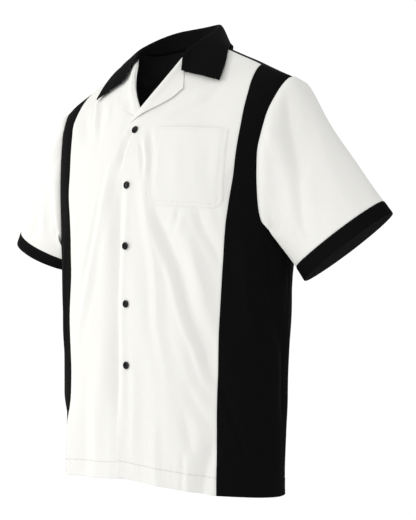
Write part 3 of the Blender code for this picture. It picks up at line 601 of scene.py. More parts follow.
# %% Fold lines
# where, depth in mm (minus sinks), flank widths in mm seen from outside as the line runs down,
# soft share at each end, points
FOLDS = [
    # wearer's left front
    ("front", -4.6, (8, 14), (.25, .25),
     ((.048, -.262), (.062, -.292), (.075, -.324), (.089, -.356), (.103, -.388), (.112, -.416),
      (.122, -.451), (.133, -.478), (.145, -.505), (.154, -.537), (.164, -.562), (.174, -.596))),
    ("front", 1.7, (8, 9), (.20, .45),
     ((.004, -.178), (.020, -.207), (.032, -.241), (.039, -.270), (.045, -.313), (.057, -.363),
      (.062, -.412), (.064, -.469), (.078, -.532), (.084, -.578), (.088, -.650))),
    ("front", 1.5, (4, 6), (.35, .40),
     ((.016, -.150), (.021, -.165), (.030, -.186), (.037, -.209), (.039, -.241), (.039, -.266))),
    ("front", -1.3, (4, 7), (.35, .40),
     ((.026, -.140), (.032, -.157), (.038, -.183), (.045, -.212), (.048, -.245))),
    ("front", -0.9, (3, 4), (.40, .40), ((.011, -.160), (.024, -.195), (.031, -.226))),
    ("front", -1.2, (8, 10), (.35, .25),
     ((.114, -.478), (.123, -.510), (.137, -.555), (.151, -.579), (.167, -.606))),
    ("front", -1.0, (8, 9), (.35, .25),
     ((.114, -.552), (.126, -.583), (.141, -.610), (.154, -.630), (.169, -.656))),
    ("front", -1.2, (8, 8), (.40, .35), ((.110, -.600), (.116, -.625), (.122, -.653), (.140, -.694))),
    ("front", -3.0, (12, 9), (.40, .08),
     ((.160, -.640), (.156, -.672), (.150, -.693), (.145, -.720), (.143, -.748))),
    ("front", -0.8, (4, 4), (.40, .08), ((.113, -.660), (.111, -.700), (.110, -.748))),
    ("front", 0.8, (6, 7), (.35, .25),
     ((.011, -.490), (.012, -.535), (.016, -.578), (.015, -.617), (.012, -.668), (.013, -.712))),
    ("front", -0.7, (9, 11), (.35, .10), ((.038, -.480), (.040, -.560), (.036, -.640), (.034, -.740))),
    ("front", 0.8, (7, 7), (.40, .10), ((.064, -.600), (.060, -.660), (.064, -.745))),
    ("front", -1.6, (6, 9), (.20, .40),
     ((.129, -.280), (.137, -.295), (.144, -.316), (.155, -.337), (.167, -.361), (.177, -.392))),
    ("front", -0.9, (5, 5), (.25, .50), ((.110, -.284), (.105, -.292), (.099, -.311), (.087, -.332))),
    ("front", 1.0, (9, 10), (.35, .40), ((.117, -.300), (.127, -.350), (.145, -.410), (.165, -.455))),
    ("front", -0.45, (2, 3), (.40, .55), ((.100, -.288), (.101, -.303))),
    ("front", -0.35, (2, 2), (.40, .55), ((.112, -.289), (.112, -.300))),
    ("front", -0.45, (2, 3), (.40, .55), ((.129, -.289), (.131, -.306))),
    ("front", -0.40, (3, 2), (.40, .55), ((.153, -.292), (.153, -.305))),
    ("front", -1.1, (7, 9), (.35, .35), ((.082, -.094), (.065, -.100), (.045, -.115), (.025, -.127))),
    ("front", -1.2, (8, 12), (.35, .35),
     ((.159, -.090), (.136, -.102), (.116, -.119), (.084, -.131), (.059, -.143))),
    ("front", 0.9, (8, 8), (.35, .35), ((.144, -.072), (.114, -.090), (.090, -.108))),
    ("front", -0.5, (10, 9), (.35, .40), ((.155, -.175), (.151, -.215), (.155, -.265))),
    ("front", 0.4, (9, 9), (.40, .40), ((.085, -.175), (.097, -.220), (.092, -.268))),
    # wearer's right front
    ("front", -4.6, (15, 8), (.15, .25),
     ((-.012, -.215), (-.016, -.270), (-.020, -.330), (-.025, -.394), (-.027, -.460),
      (-.026, -.530), (-.025, -.600), (-.028, -.675))),
    ("front", 2.0, (6, 8), (.20, .30),
     ((-.040, -.180), (-.046, -.217), (-.051, -.250), (-.060, -.286), (-.071, -.319),
      (-.084, -.359), (-.100, -.412), (-.118, -.465), (-.135, -.503), (-.145, -.550))),
    ("front", 1.1, (5, 7), (.30, .35),
     ((-.072, -.235), (-.078, -.267), (-.085, -.292), (-.101, -.337), (-.122, -.393),
      (-.138, -.440))),
    ("front", -1.6, (8, 9), (.35, .40),
     ((-.116, -.260), (-.134, -.330), (-.156, -.400), (-.162, -.470))),
    ("front", 1.8, (4, 5), (.30, .45),
     ((-.148, -.068), (-.141, -.084), (-.126, -.111), (-.113, -.145), (-.107, -.170))),
    ("front", -1.2, (5, 6), (.30, .45),
     ((-.122, -.078), (-.116, -.092), (-.105, -.122), (-.095, -.151), (-.087, -.180))),
    ("front", 1.0, (5, 6), (.35, .45),
     ((-.096, -.082), (-.091, -.098), (-.083, -.121), (-.083, -.150))),
    ("front", -1.6, (12, 12), (.35, .40),
     ((-.174, -.090), (-.160, -.110), (-.140, -.141), (-.116, -.170))),
    ("front", -3.0, (7, 4), (.20, .40),
     ((.000, -.142), (-.008, -.155), (-.015, -.169), (-.019, -.189), (-.021, -.225))),
    ("front", 1.3, (13, 13), (.30, .10), ((-.065, -.500), (-.073, -.600), (-.077, -.745))),
    ("front", -1.7, (13, 15), (.30, .10), ((-.101, -.540), (-.110, -.640), (-.115, -.745))),
    ("front", 5.4, (8, 24), (.40, .03), ((-.156, -.590), (-.162, -.660), (-.165, -.760))),
    ("front", -6.3, (28, 15), (.45, .02), ((-.200, -.600), (-.206, -.675), (-.208, -.760))),
    # little pulls at the buttons
    ("front", -0.4, (4, 5), (.20, .60), ((.006, -.244), (.026, -.252), (.050, -.256))),
    ("front", -0.4, (4, 4), (.20, .60), ((-.002, -.344), (-.022, -.340), (-.042, -.333))),
    ("front", -0.4, (4, 5), (.20, .60), ((.006, -.439), (.032, -.444), (.054, -.452))),
    ("front", -0.4, (4, 5), (.20, .60), ((-.002, -.540), (-.018, -.536), (-.038, -.533))),
    # side insets
    ("front", -1.4, (4, 6), (.30, .35), ((.168, -.550), (.178, -.590), (.193, -.640), (.208, -.705))),
    ("front", -3.2, (9, 9), (.25, .15),
     ((.227, -.318), (.233, -.370), (.236, -.451), (.238, -.533), (.238, -.640))),
    ("front", 1.6, (9, 9), (.30, .30), ((.201, -.300), (.208, -.400), (.212, -.520))),
    ("front", -1.3, (6, 8), (.35, .35), ((.199, -.205), (.186, -.260), (.189, -.330))),
    ("front", -1.6, (9, 11), (.25, .15),
     ((-.222, -.325), (-.226, -.400), (-.227, -.500), (-.226, -.640))),
    ("front", 1.8, (10, 9), (.30, .30), ((-.185, -.300), (-.193, -.420), (-.195, -.560))),
    # back
    ("back", 2.4, (10, 13), (.25, .30), ((.050, -.030), (.028, -.075), (.000, -.125), (-.020, -.170))),
    ("back", -2.0, (9, 12), (.30, .30), ((.016, -.035), (-.006, -.070), (-.030, -.110))),
    ("back", -4.4, (15, 22), (.30, .12),
     ((-.080, -.200), (-.106, -.330), (-.120, -.470), (-.112, -.620), (-.108, -.745))),
    ("back", 2.8, (16, 14), (.30, .12),
     ((-.050, -.260), (-.062, -.400), (-.066, -.560), (-.060, -.745))),
    ("back", -3.6, (20, 14), (.30, .12),
     ((.060, -.250), (.078, -.380), (.094, -.520), (.090, -.640), (.084, -.745))),
    ("back", 2.6, (14, 17), (.30, .12), ((.120, -.300), (.136, -.430), (.146, -.580), (.140, -.745))),
    ("back", 2.2, (22, 18), (.35, .12), ((.004, -.340), (.010, -.480), (.016, -.620), (.012, -.745))),
    ("back", -2.6, (9, 14), (.20, .40), ((.176, -.250), (.142, -.300), (.104, -.330), (.070, -.345))),
    ("back", -1.8, (7, 10), (.20, .40), ((.180, -.300), (.150, -.345), (.118, -.368))),
    ("back", -2.4, (13, 8), (.20, .40),
     ((-.180, -.240), (-.150, -.290), (-.116, -.322), (-.080, -.335))),
    ("back", -1.6, (9, 7), (.20, .40), ((-.186, -.296), (-.160, -.350), (-.132, -.384))),
    ("back", -1.3, (8, 11), (.35, .35), ((-.066, -.052), (-.020, -.070), (.030, -.068), (.072, -.050))),
    ("back", -2.6, (10, 12), (.25, .12), ((.200, -.360), (.206, -.480), (.208, -.620), (.206, -.745))),
    ("back", -5.5, (26, 26), (.20, .05), ((.232, -.340), (.226, -.450), (.222, -.600), (.221, -.760))),
    ("back", -2.4, (12, 10), (.25, .12), ((-.198, -.380), (-.204, -.500), (-.202, -.745))),
    ("back", -1.4, (5, 8), (.30, .40), ((.024, -.014), (.034, -.045), (.036, -.085))),
    ("back", -1.1, (5, 6), (.30, .40), ((.002, -.020), (.008, -.052), (.006, -.090))),
    # left sleeve, by turn round it and share of its length
    ("left", -2.6, (14, 20), (.25, .40), ((.975, .020), (.925, .160), (.872, .330), (.820, .520))),
    ("left", -1.3, (6, 10), (.20, .20),
     ((.985, .010), (.967, .060), (.901, .205), (.838, .375), (.739, .610), (.697, .805),
      (.688, .930))),
    ("left", 1.0, (9, 9), (.25, .25),
     ((.925, .020), (.872, .120), (.812, .280), (.730, .460), (.660, .640))),
    ("left", 0.8, (7, 8), (.35, .45), ((.872, .018), (.856, .060), (.832, .140))),
    ("left", -1.4, (6, 9), (.30, .40), ((.606, .100), (.628, .210), (.646, .340), (.664, .470))),
    ("left", 0.9, (14, 14), (.35, .30), ((.985, .240), (.950, .420), (.905, .600), (.860, .860))),
    ("left", -2.2, (9, 13), (.25, .20), ((.130, .040), (.160, .200), (.190, .460), (.212, .800))),
    ("left", -2.4, (9, 10), (.20, .30), ((.330, .040), (.300, .220), (.292, .480), (.300, .760))),
    ("left", -2.6, (8, 10), (.20, .30), ((.500, .030), (.470, .240), (.440, .520))),
    ("left", 1.8, (10, 10), (.25, .25), ((.200, .060), (.240, .300), (.262, .640))),
    ("left", -0.9, (3, 4), (.30, .45), ((.700, .560), (.684, .680), (.672, .800))),
    # right sleeve
    ("right", -3.0, (10, 12), (.15, .20),
     ((.975, .020), (.935, .180), (.880, .400), (.800, .640), (.770, .900))),
    ("right", 2.0, (10, 9), (.20, .20), ((.900, .030), (.842, .200), (.780, .400), (.720, .640))),
    ("right", -2.2, (8, 10), (.25, .35), ((.620, .040), (.640, .220), (.660, .440))),
    ("right", -2.8, (12, 9), (.20, .20), ((.060, .020), (.120, .240), (.160, .500), (.180, .860))),
    ("right", 1.8, (11, 10), (.25, .25), ((.180, .060), (.226, .300), (.250, .640))),
    ("right", -2.2, (9, 9), (.20, .30), ((.320, .040), (.310, .260), (.330, .560))),
    ("right", -2.6, (9, 9), (.20, .30), ((.480, .030), (.450, .240), (.420, .500))),
]
print(len(FOLDS), "folds")


# %% Fold surface
def through(points, count=26):
    """A smooth line in space through a few points."""
    points = np.asarray(points, float)
    keys = travelled(points)
    at = np.linspace(0, keys[-1], count)
    return np.stack([curve(keys, points[:, i], at) for i in range(3)], -1)


def fold_line(place, points):
    """A fold's line in space, on the body or round a sleeve."""
    a, b = np.array(points).T
    if place in ("front", "back"):
        return through(torso(share_of(a, b), b, -1 if place == "front" else 1))
    turn = np.unwrap(a, period=1.0)
    line = through(sleeve(place, turn, b))
    return line if place == "left" else mirror(line)


LINES = [(fold_line(place, points), depth / 1000, (left / 1000, right / 1000), fade)
         for place, depth, (left, right), fade, points in FOLDS]
FOLD_REACH = 4.2      # in flank widths


def fold_height(points, normals):
    """How far every fold together moves each point along its normal."""
    height = np.zeros(len(points))
    for line, depth, (left, right), (start, end) in LINES:
        reach = FOLD_REACH * max(left, right)
        near = np.all((points > line.min(0) - reach) & (points < line.max(0) + reach), axis=1)
        if not near.any():
            continue
        p, n = points[near], normals[near]
        a, step = line[:-1], np.diff(line, axis=0)
        size = np.linalg.norm(step, axis=1)
        from_a = p[:, None] - a[None]
        t = np.clip((from_a * step).sum(-1) / size**2, 0, 1)
        gap = from_a - t[..., None] * step
        best = np.argmin((gap**2).sum(-1), axis=1)
        row = np.arange(len(p))
        off = gap[row, best]
        away = np.linalg.norm(off, axis=1)
        side = (np.cross(step[best], off) * n).sum(-1) > 0
        width = np.where(side, right, left)
        travel = np.concatenate([[0], np.cumsum(size)])
        along = (travel[best] + t[row, best] * size[best]) / travel[-1]
        ratio = away / width
        crease = np.exp(-1.35 * (np.sqrt(ratio**2 + 0.2) - 0.447))
        beside = -0.30 * np.exp(-((ratio - 2.1) / 0.9) ** 2)
        height[near] += depth * (crease + beside) * ease(along / start) * ease((1 - along) / end)
    return height


print("longest fold", round(max(travelled(line)[-1] for line, *_ in LINES), 3), "m")


# %% [markdown]
# Between the folds the cloth still moves a little. A handful of long shallow
# waves that mostly run up and down do this, weak at the shoulders, where the
# body holds the cloth tight, and stronger towards the hem.

# %% Slack cloth
RANDOM = np.random.default_rng(11)
WAVES = []
for _ in range(26):
    turn, length = RANDOM.uniform(0, 2 * math.pi), RANDOM.uniform(0.035, 0.14)
    heading = unit(np.array([math.cos(turn), math.sin(turn), RANDOM.normal(0, 0.28)]))
    WAVES.append((heading * 2 * math.pi / length, RANDOM.uniform(0, 2 * math.pi), 0.0042 * length))


def slack(points):
    """How far the long waves move each point: least near the neck and shoulders."""
    z = points[:, 2]
    x = np.abs(points[:, 0])
    hold = 0.30 + 0.70 * ease((-z - 0.10) / 0.36)
    hold = hold * (0.25 + 0.75 * ease((np.hypot(x, z + 0.02) - 0.10) / 0.10))
    total = np.zeros(len(points))
    for heading, phase, size in WAVES:
        total += size * np.sin(points @ heading + phase)
    arm = ease((x - 0.235) / 0.04) * ease((0.62 + z) / 0.05)
    front = ease((-0.01 - points[:, 1]) / 0.03)
    return total * hold * (1 - 0.45 * arm) * (1 - 0.40 * front * (1 - arm))


FOLD_STRENGTH = 1.5


def drape(points, normals):
    """Folds and slack together, for points of any grid."""
    flat, around = points.reshape(-1, 3), normals.reshape(-1, 3)
    return (FOLD_STRENGTH * fold_height(flat, around) + slack(flat)).reshape(points.shape[:-1])


print("a wave moves the cloth up to", round(max(w[2] for w in WAVES) * 1000, 2), "mm")

# %% [markdown]
# ## Cloth and button finishes
# Both cloths are one plain weave, dyed or left white, so they share a node
# group: it takes the cloth's own measure in metres, crosses two thread
# waves, and gives back a height for the bump and a soft mottle of thick and
# thin threads. Constants such as sheen stay on the shader itself.

# %% Weave group
weave = bpy.data.node_groups.new("plain_weave", "ShaderNodeTree")
weave.interface.new_socket("Measure", in_out="INPUT", socket_type="NodeSocketVector")
weave.interface.new_socket("Threads per metre", in_out="INPUT", socket_type="NodeSocketFloat")
weave.interface.new_socket("Height", in_out="OUTPUT", socket_type="NodeSocketFloat")
weave.interface.new_socket("Mottle", in_out="OUTPUT", socket_type="NodeSocketFloat")
put, link = weave.nodes.new, weave.links.new
inlet, outlet = put("NodeGroupInput"), put("NodeGroupOutput")
axes = put("ShaderNodeSeparateXYZ")
link(inlet.outputs["Measure"], axes.inputs[0])


def work(operation, *inputs):
    """Arithmetic inside the weave group."""
    return maths(weave, operation, *inputs)


turns = work("MULTIPLY", inlet.outputs["Threads per metre"], math.pi)
warp = work("SINE", work("MULTIPLY", axes.outputs["X"], turns))
weft = work("SINE", work("MULTIPLY", axes.outputs["Y"], turns))
crossing = work("MULTIPLY", warp, weft)
slub = put("ShaderNodeTexNoise")
stretch = put("ShaderNodeMapping")
stretch.inputs["Scale"].default_value = (420.0, 60.0, 1.0)
link(inlet.outputs["Measure"], stretch.inputs["Vector"])
link(stretch.outputs[0], slub.inputs["Vector"])
slub.inputs["Scale"].default_value = 1.0
slub.inputs["Detail"].default_value = 3.0
link(work("ADD", work("MULTIPLY", crossing, 0.5), slub.outputs["Fac"]), outlet.inputs["Height"])
link(slub.outputs["Fac"], outlet.inputs["Mottle"])
print("weave group of", len(weave.nodes), "nodes")


# %% Cloth materials
def cloth_material(name, dark, light, inner, roughness, specular, sheen, bump=0.5):
    """Woven cloth, mottled from dark to light outside; inside it takes the inner colour, which on the
    black cloth is painted light standing in for light that falls in through the neck.
    """
    item = bpy.data.materials.new(name)
    item.use_nodes = True
    tree = item.node_tree
    shader = tree.nodes["Principled BSDF"]
    measure = tree.nodes.new("ShaderNodeUVMap")
    measure.uv_map = "cloth"
    threads = tree.nodes.new("ShaderNodeGroup")
    threads.node_tree = weave
    threads.inputs["Threads per metre"].default_value = 2600.0
    tree.links.new(measure.outputs[0], threads.inputs["Measure"])
    blend = tree.nodes.new("ShaderNodeMix")
    blend.data_type = "RGBA"
    blend.inputs["A"].default_value = (*dark, 1)
    blend.inputs["B"].default_value = (*light, 1)
    tree.links.new(threads.outputs["Mottle"], blend.inputs["Factor"])
    which_side = tree.nodes.new("ShaderNodeAttribute")
    which_side.attribute_name = "inside"
    # painted light: this mix gives the inner faces the inner colour, which on the black cloth stands in
    # for light reaching the inside
    inside_painted_light = tree.nodes.new("ShaderNodeMix")
    inside_painted_light.data_type = "RGBA"
    inside_painted_light.inputs["B"].default_value = (*inner, 1)
    tree.links.new(which_side.outputs["Fac"], inside_painted_light.inputs["Factor"])
    tree.links.new(blend.outputs["Result"], inside_painted_light.inputs["A"])
    tree.links.new(inside_painted_light.outputs["Result"], shader.inputs["Base Color"])
    ridge_bump = tree.nodes.new("ShaderNodeBump")
    ridge_bump.inputs["Strength"].default_value = bump
    ridge_bump.inputs["Distance"].default_value = 0.0001
    tree.links.new(threads.outputs["Height"], ridge_bump.inputs["Height"])
    tree.links.new(ridge_bump.outputs[0], shader.inputs["Normal"])
    shader.inputs["Roughness"].default_value = roughness
    shader.inputs["Specular IOR Level"].default_value = specular
    shader.inputs["Sheen Weight"].default_value = sheen
    shader.inputs["Sheen Roughness"].default_value = 0.5
    return item


WHITE = cloth_material("white_cloth", dark=(0.868, 0.862, 0.826), light=(0.905, 0.899, 0.864),
                       inner=(0.88, 0.874, 0.84), roughness=0.88, specular=0.12, sheen=0.03)
# The black's inside colour, several times its outside, is painted light: it stands in for light that falls
# into the shirt through the neck.
BLACK = cloth_material("black_cloth", dark=(0.0030, 0.0030, 0.0031), light=(0.0046, 0.0046, 0.0047),
                       inner=(0.024, 0.024, 0.024), roughness=0.90, specular=0.05, sheen=0.0)
WHITE_THREAD = plain_material("white_thread", (0.76, 0.75, 0.71), 0.6, 0.2)
# The hem thread is dark grey: painted shade, standing in for the shade of the hem stitches' groove on the
# white fronts.
HEM_PAINTED_SHADE_THREAD = plain_material("hem_thread_painted_shade", (0.36, 0.34, 0.31), 0.6, 0.2)
BLACK_THREAD = plain_material("black_thread", (0.006, 0.006, 0.006), 0.6, 0.2)
BUTTON = plain_material("black_button", (0.003, 0.003, 0.0035), 0.22, 0.12)
print("materials:", [m.name for m in bpy.data.materials])

# %% [markdown]
# ## From a grid to a wall of cloth
# Each piece is worked out as a grid of points. The same routine finishes all
# of them: it turns the sewn edges in a little, as a seam allowance pulls them,
# puckers the cloth beside them, drapes it, and closes it with an inner layer
# and a rounded rim.

# %% Grid tools
def spread(count, *marks):
    """Even shares from 0 to 1, with extra ones close to each mark."""
    keep = list(np.linspace(0, 1, count))
    for mark, steps in marks:
        keep += [mark + s for s in steps] + [mark - s for s in steps]
    keep = sorted(k for k in keep if 0 <= k <= 1)
    out = [keep[0]]
    for k in keep[1:]:
        if k - out[-1] > 0.0009:
            out.append(k)
    out[-1] = 1.0
    return np.array(out)


EDGE_STEPS = (0.0, .0025, .0055, .0090, .0135, .0190, .0260, .0350)


def edge_distances(grid, ring=False):
    """Distance along the cloth from each of the four edges: bottom, top, first, last."""
    up = travelled(grid)
    if ring:
        far = np.full(grid.shape[:2], 9.0)
        return up, up[-1:] - up, far, far
    side = travelled(grid, 1)
    return up, up[-1:] - up, side, side[:, -1:] - side


def bell(distance, width):
    """1 at no distance, falling away softly on both sides."""
    return np.exp(-(distance / width) ** 2)


def lean_to(normal, target, distance, reach=0.008):
    """Blend normals to the ones that the neighbouring piece has at their seam."""
    share = bell(distance, reach)[..., None]
    return unit(normal * (1 - share) + target * share)


def seam_relief(distance, along, seed, deep=0.0008, pucker=0.00022):
    """A sewn edge: it dips into the seam and the cloth beside it ripples."""
    ripple = np.sin(along * 2 * math.pi / 0.013 + 2.2 * np.sin(along * 37 + seed))
    ripple = ripple * (0.6 + 0.4 * np.sin(along * 23 + seed))
    beside = np.exp(-distance / 0.0075) * (1 - np.exp(-distance / 0.002))
    return -deep * bell(distance, 0.0016) + pucker * ripple * beside


def stitched(distance, line, along, seed, deep=0.00032, pucker=0.00026):
    """A row of stitches presses a groove at its line, and ripples the cloth around it."""
    off = distance - line
    ripple = np.sin(along * 2 * math.pi / 0.010 + 1.8 * np.sin(along * 41 + seed))
    return -deep * bell(off, 0.0011) + pucker * ripple * np.exp(-np.abs(off) / 0.006)


MADE = {}


def wall_of_cloth(name, outer, normal, wall, look, node, ring=False, flip=False, round_rim=0.35):
    """Close a draped grid into a thin wall with a rounded rim."""
    rows, cols = outer.shape[:2]
    wall = np.broadcast_to(np.asarray(wall, float), (rows, cols))[..., None]
    inner = outer - normal * wall
    middle = (outer + inner) / 2
    low, high = [(0, c) for c in range(cols)], [(rows - 1, c) for c in reversed(range(cols))]
    if ring:
        loops = [low, high]
    else:
        last = [(r, cols - 1) for r in range(1, rows - 1)]
        first = [(r, 0) for r in reversed(range(1, rows - 1))]
        loops = [low + last + high + first]
    half = rows * cols
    points = [outer.reshape(-1, 3), inner.reshape(-1, 3)]
    r, c = np.meshgrid(np.arange(rows - 1), np.arange(cols if ring else cols - 1), indexing="ij")
    r, c = r.ravel(), c.ravel()
    n = (c + 1) % cols
    quads = np.stack([r * cols + c, r * cols + n, (r + 1) * cols + n, (r + 1) * cols + c], 1)
    faces = [quads, quads[:, ::-1] + half]
    base = 2 * half
    for loop in loops:
        lr, lc = np.array(loop).T
        inward_r = np.clip(lr, 1, rows - 2)
        inward_c = lc if ring else np.clip(lc, 1, cols - 2)
        out = unit(middle[lr, lc] - middle[inward_r, inward_c])
        points.append(middle[lr, lc] + out * wall[lr, lc] * round_rim)
        at = lr * cols + lc
        nxt = np.roll(at, -1)
        mid = base + np.arange(len(loop))
        mid_next = np.roll(mid, -1)
        faces.append(np.stack([nxt, at, mid, mid_next], 1))
        faces.append(np.stack([mid_next, mid, at + half, nxt + half], 1))
        base += len(loop)
    points, faces = np.concatenate(points), np.concatenate(faces)
    if flip:
        faces = faces[:, ::-1]
    mesh = bpy.data.meshes.new(name)
    mesh.from_pydata(points.tolist(), [], faces.tolist())
    for poly in mesh.polygons:
        poly.use_smooth = True
    measure = np.stack([travelled(outer, 1), travelled(outer)], -1)
    flat = measure.reshape(-1, 2)
    flat = np.concatenate([flat, flat] + [measure[tuple(np.array(loop).T)] for loop in loops])
    layer = mesh.uv_layers.new(name="cloth")
    corner = np.empty(len(mesh.loops), int)
    mesh.loops.foreach_get("vertex_index", corner)
    layer.data.foreach_set("uv", flat[corner].ravel())
    # the inside mark picks the inner colour, which is painted light on the black cloth
    inside = mesh.attributes.new("inside", "FLOAT", "POINT")
    inside.data.foreach_set("value", np.repeat([0.0, 1.0, 0.5], [half, half, len(points) - 2 * half]))
    mesh.materials.append(look)
    thing = add_object(name, mesh)
    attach(thing, "root")
    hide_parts(node)
    MADE[name] = {"grid": outer, "normal": normal, "ring": ring, "object": thing}
    print(name, "triangles", sum(len(p.vertices) - 2 for p in mesh.polygons))


print("extra rows beside an edge, in share of the width:", EDGE_STEPS)

# %% [markdown]
# ## Fronts and side insets
# A white front runs from the button edge to a long curved seam. A black side
# inset fills the space from there to the side seam and the armhole. Both come
# from the same body surface, so the seam between them is one line.

# %% Panels
def panel_rows(count, top_power, fine=()):
    """Steps from hem to shoulder seam, closer together near the seams and along the hem stitching."""
    low = spread(int(count * 0.56), (0.0, (0.0, .0012, .0028, .0048, .0075, .011, .016)),
                 (0.0655, (0.0, .0018, .0036, .0060, .0095)), *fine)
    high = 1 - (1 - np.linspace(0, 1, int(count * 0.44))) ** top_power
    return np.concatenate([low[:-1], 1 + high])


PANEL_ROWS = panel_rows(300, 1.7)


def hem_relief(up, along, seed):
    """The turned hem: two layers below the stitching, and the stitching's groove."""
    thick = 0.00035 * ease((HEM_TURN - up) / 0.0012)
    return thick + stitched(up, HEM_TURN, along, seed, 0.00070, 0.00034)


def hem_wall(up):
    """The wall's thickness: more where the hem is turned."""
    return CLOTH * (1 + 0.8 * ease((HEM_TURN + 0.0006 - up) / 0.0012))


def tuck(x):
    """How far the lower front passes behind the upper one."""
    return ease((0.044 - x) / 0.021) * (CLOTH + 0.0010)


def make_panel(name, node, first, second, columns, look, side, sewn):
    """One piece of a front, between two cutting lines."""
    s = spread(columns, *[(0.0 if edge == "first" else 1.0, EDGE_STEPS) for edge in ("first", "last")])
    share, level = between(first, second, s, PANEL_ROWS)
    outer = torso(share, level, -1)
    normal = torso_normal(share, level, -1)
    up, down, start, end = edge_distances(outer)
    normal = lean_to(normal, np.broadcast_to(RIDGE_NORMAL, normal.shape), down)
    if second is SIDE_EDGE[side]:
        high = PANEL_ROWS >= 1
        edge_normal = normal[:, -1].copy()
        edge_normal[high] = arm_seam_normal(side, PANEL_ROWS[high] / 2)
        normal = lean_to(normal, edge_normal[:, None], end)
    move = drape(*on_side(side, outer, normal))
    seed = len(name) + (3 if side == "right" else 0)
    for edge, distance in (("first", start), ("last", end)):
        if edge in sewn:
            move = move + seam_relief(distance, up, seed + 5)
    move = move + seam_relief(down, start, seed + 9)
    move = move + hem_relief(up, start, seed)
    if name == "white_front_right":
        move = move - tuck(outer[..., 0])
    elif name == "white_front_left":
        down_front = -outer[..., 2]
        loose = ease((down_front - 0.50) / 0.10)
        move = move + 0.0013 * loose * bell(start, 0.010)
    outer = outer + normal * move[..., None]
    for edge in sewn:
        outer = pull(outer, edge)
    outer = pull(outer, "top", HALF_GAP)
    outer, normal = on_side(side, outer, normal)
    wall_of_cloth(name, outer, normal, hem_wall(up), look, node, flip=(side == "right"))


for side in SIDES:
    make_panel("white_front_" + side, "front_" + side, free_line, PANEL_EDGE[side], 84, WHITE, side,
               sewn=("last",))
    make_panel("side_inset_" + side, "side_front_" + side, PANEL_EDGE[side], SIDE_EDGE[side], 44, BLACK,
               side, sewn=("first", "last"))

# %% [markdown]
# ## Back
# The back is one black piece from side seam to side seam. It is wider than
# the fronts across the shoulder blades and ends in the neck curve, where the
# collar is sewn on.

# %% Back piece
BACK_ROWS = panel_rows(200, 3.2)
neck_share = float(share_of(np.array(NECK_SIDE), ridge(np.array(NECK_SIDE))))
columns = {}
for side in SIDES:
    neck_s = neck_share / float(side_line(np.array(2.0), 1, side)[0])
    inside_part = np.linspace(0, neck_s, 34)
    outside_part = neck_s + (1 - neck_s) * spread(66, (1.0, EDGE_STEPS))
    columns[side] = np.concatenate([inside_part, outside_part[1:]])
back_s = np.concatenate([-columns["right"][::-1], columns["left"][1:]])
share, level = back_grid(back_s, BACK_ROWS)
outer = torso(share, level, 1)
normal = torso_normal(share, level, 1)
up, down, start, end = edge_distances(outer)
on_ridge = ease((np.abs(outer[-1, :, 0]) - NECK_SIDE + 0.004) / 0.008)[None, :]
top_normal = RIDGE_NORMAL * np.stack([np.sign(back_s), np.ones_like(back_s), np.ones_like(back_s)], -1)
weight = (bell(down, 0.008) * on_ridge)[..., None]
normal = unit(normal * (1 - weight) + top_normal[None] * weight)
high = BACK_ROWS >= 1
for column, side, distance in ((-1, "left", end), (0, "right", start)):
    edge_normal = normal[:, column].copy()
    edge_normal[high] = on_side(side, arm_seam_normal(side, 1 - BACK_ROWS[high] / 2))[0]
    normal = lean_to(normal, edge_normal[:, None], distance)
move = drape(outer, normal)
for distance in (start, end):
    move = move + seam_relief(distance, up, 31)
move = move + seam_relief(down, start, 17) + hem_relief(up, start, 23)
outer = outer + normal * move[..., None]
for edge in ("first", "last", "top"):
    outer = pull(outer, edge)
wall_of_cloth("back_panel", outer, normal, hem_wall(up), BLACK, "back", flip=True)

# %% [markdown]
# ## Sleeves and their bands
# A short sleeve is one piece sewn into a tube, with its seam under the arm.
# A folded black band is sewn round its end. The band is one depth all round.

# %% Sleeves
TURNS = np.linspace(0, 1, 172, endpoint=False)
for side in SIDES:
    begin = cuff_start(side, TURNS)
    share_down = spread(78, (0.0, EDGE_STEPS), (1.0, EDGE_STEPS))
    grid_u = np.repeat(TURNS[None], len(share_down), 0)
    outer = sleeve(side, grid_u, share_down[:, None] * begin[None])
    normal = sleeve_normal(side, grid_u, share_down[:, None] * begin[None])
    up, down, _, _ = edge_distances(outer, ring=True)
    normal = lean_to(normal, arm_seam_normal(side, TURNS)[None], up)
    girth = travelled(outer[0])
    along = np.repeat(girth[None], len(share_down), 0)
    move = drape(*on_side(side, outer, normal)) * ease(down / 0.03 + 0.35)
    move = move + seam_relief(up, along, 41) + seam_relief(down, along, 43)
    under_seam = (grid_u - 0.5) * girth[-1]
    move = move - 0.0007 * bell(under_seam, 0.0016)
    outer = outer + normal * move[..., None]
    for edge in ("bottom", "top"):
        outer = pull(outer, edge, ring=True)
    band_share = spread(9, (0.0, (0.0, .03, .07, .12)), (1.0, (0.0, .02, .05, .10)))
    rows = begin[None] + (1 - begin)[None] * band_share[:, None]
    band_u = np.repeat(TURNS[None], len(band_share), 0)
    band, band_normal = sleeve(side, band_u, rows), sleeve_normal(side, band_u, rows)
    up, down, _, _ = edge_distances(band, ring=True)
    along = np.repeat(girth[None], len(band_share), 0)
    move = drape(*on_side(side, band, band_normal)) * 0.35 + 0.0005
    move = move + seam_relief(up, along, 47) - 0.0003 * bell(down, 0.0012)
    band = pull(band + band_normal * move[..., None], "bottom", HALF_GAP, ring=True)
    outer, normal, band, band_normal = on_side(side, outer, normal, band, band_normal)
    wall_of_cloth("sleeve_cloth_" + side, outer, normal, CLOTH, WHITE, "sleeve_" + side,
                  ring=True, flip=(side == "left"))
    wall_of_cloth("cuff_band_" + side, band, band_normal, DOUBLE, BLACK, "cuff_" + side,
                  ring=True, flip=(side == "left"))

# %% [markdown]
# ## Lapels
# Under the collar each front is turned outward, so its facing shows as a
# small white lapel. The turn is a soft roll around the front's edge, not a
# pressed crease.

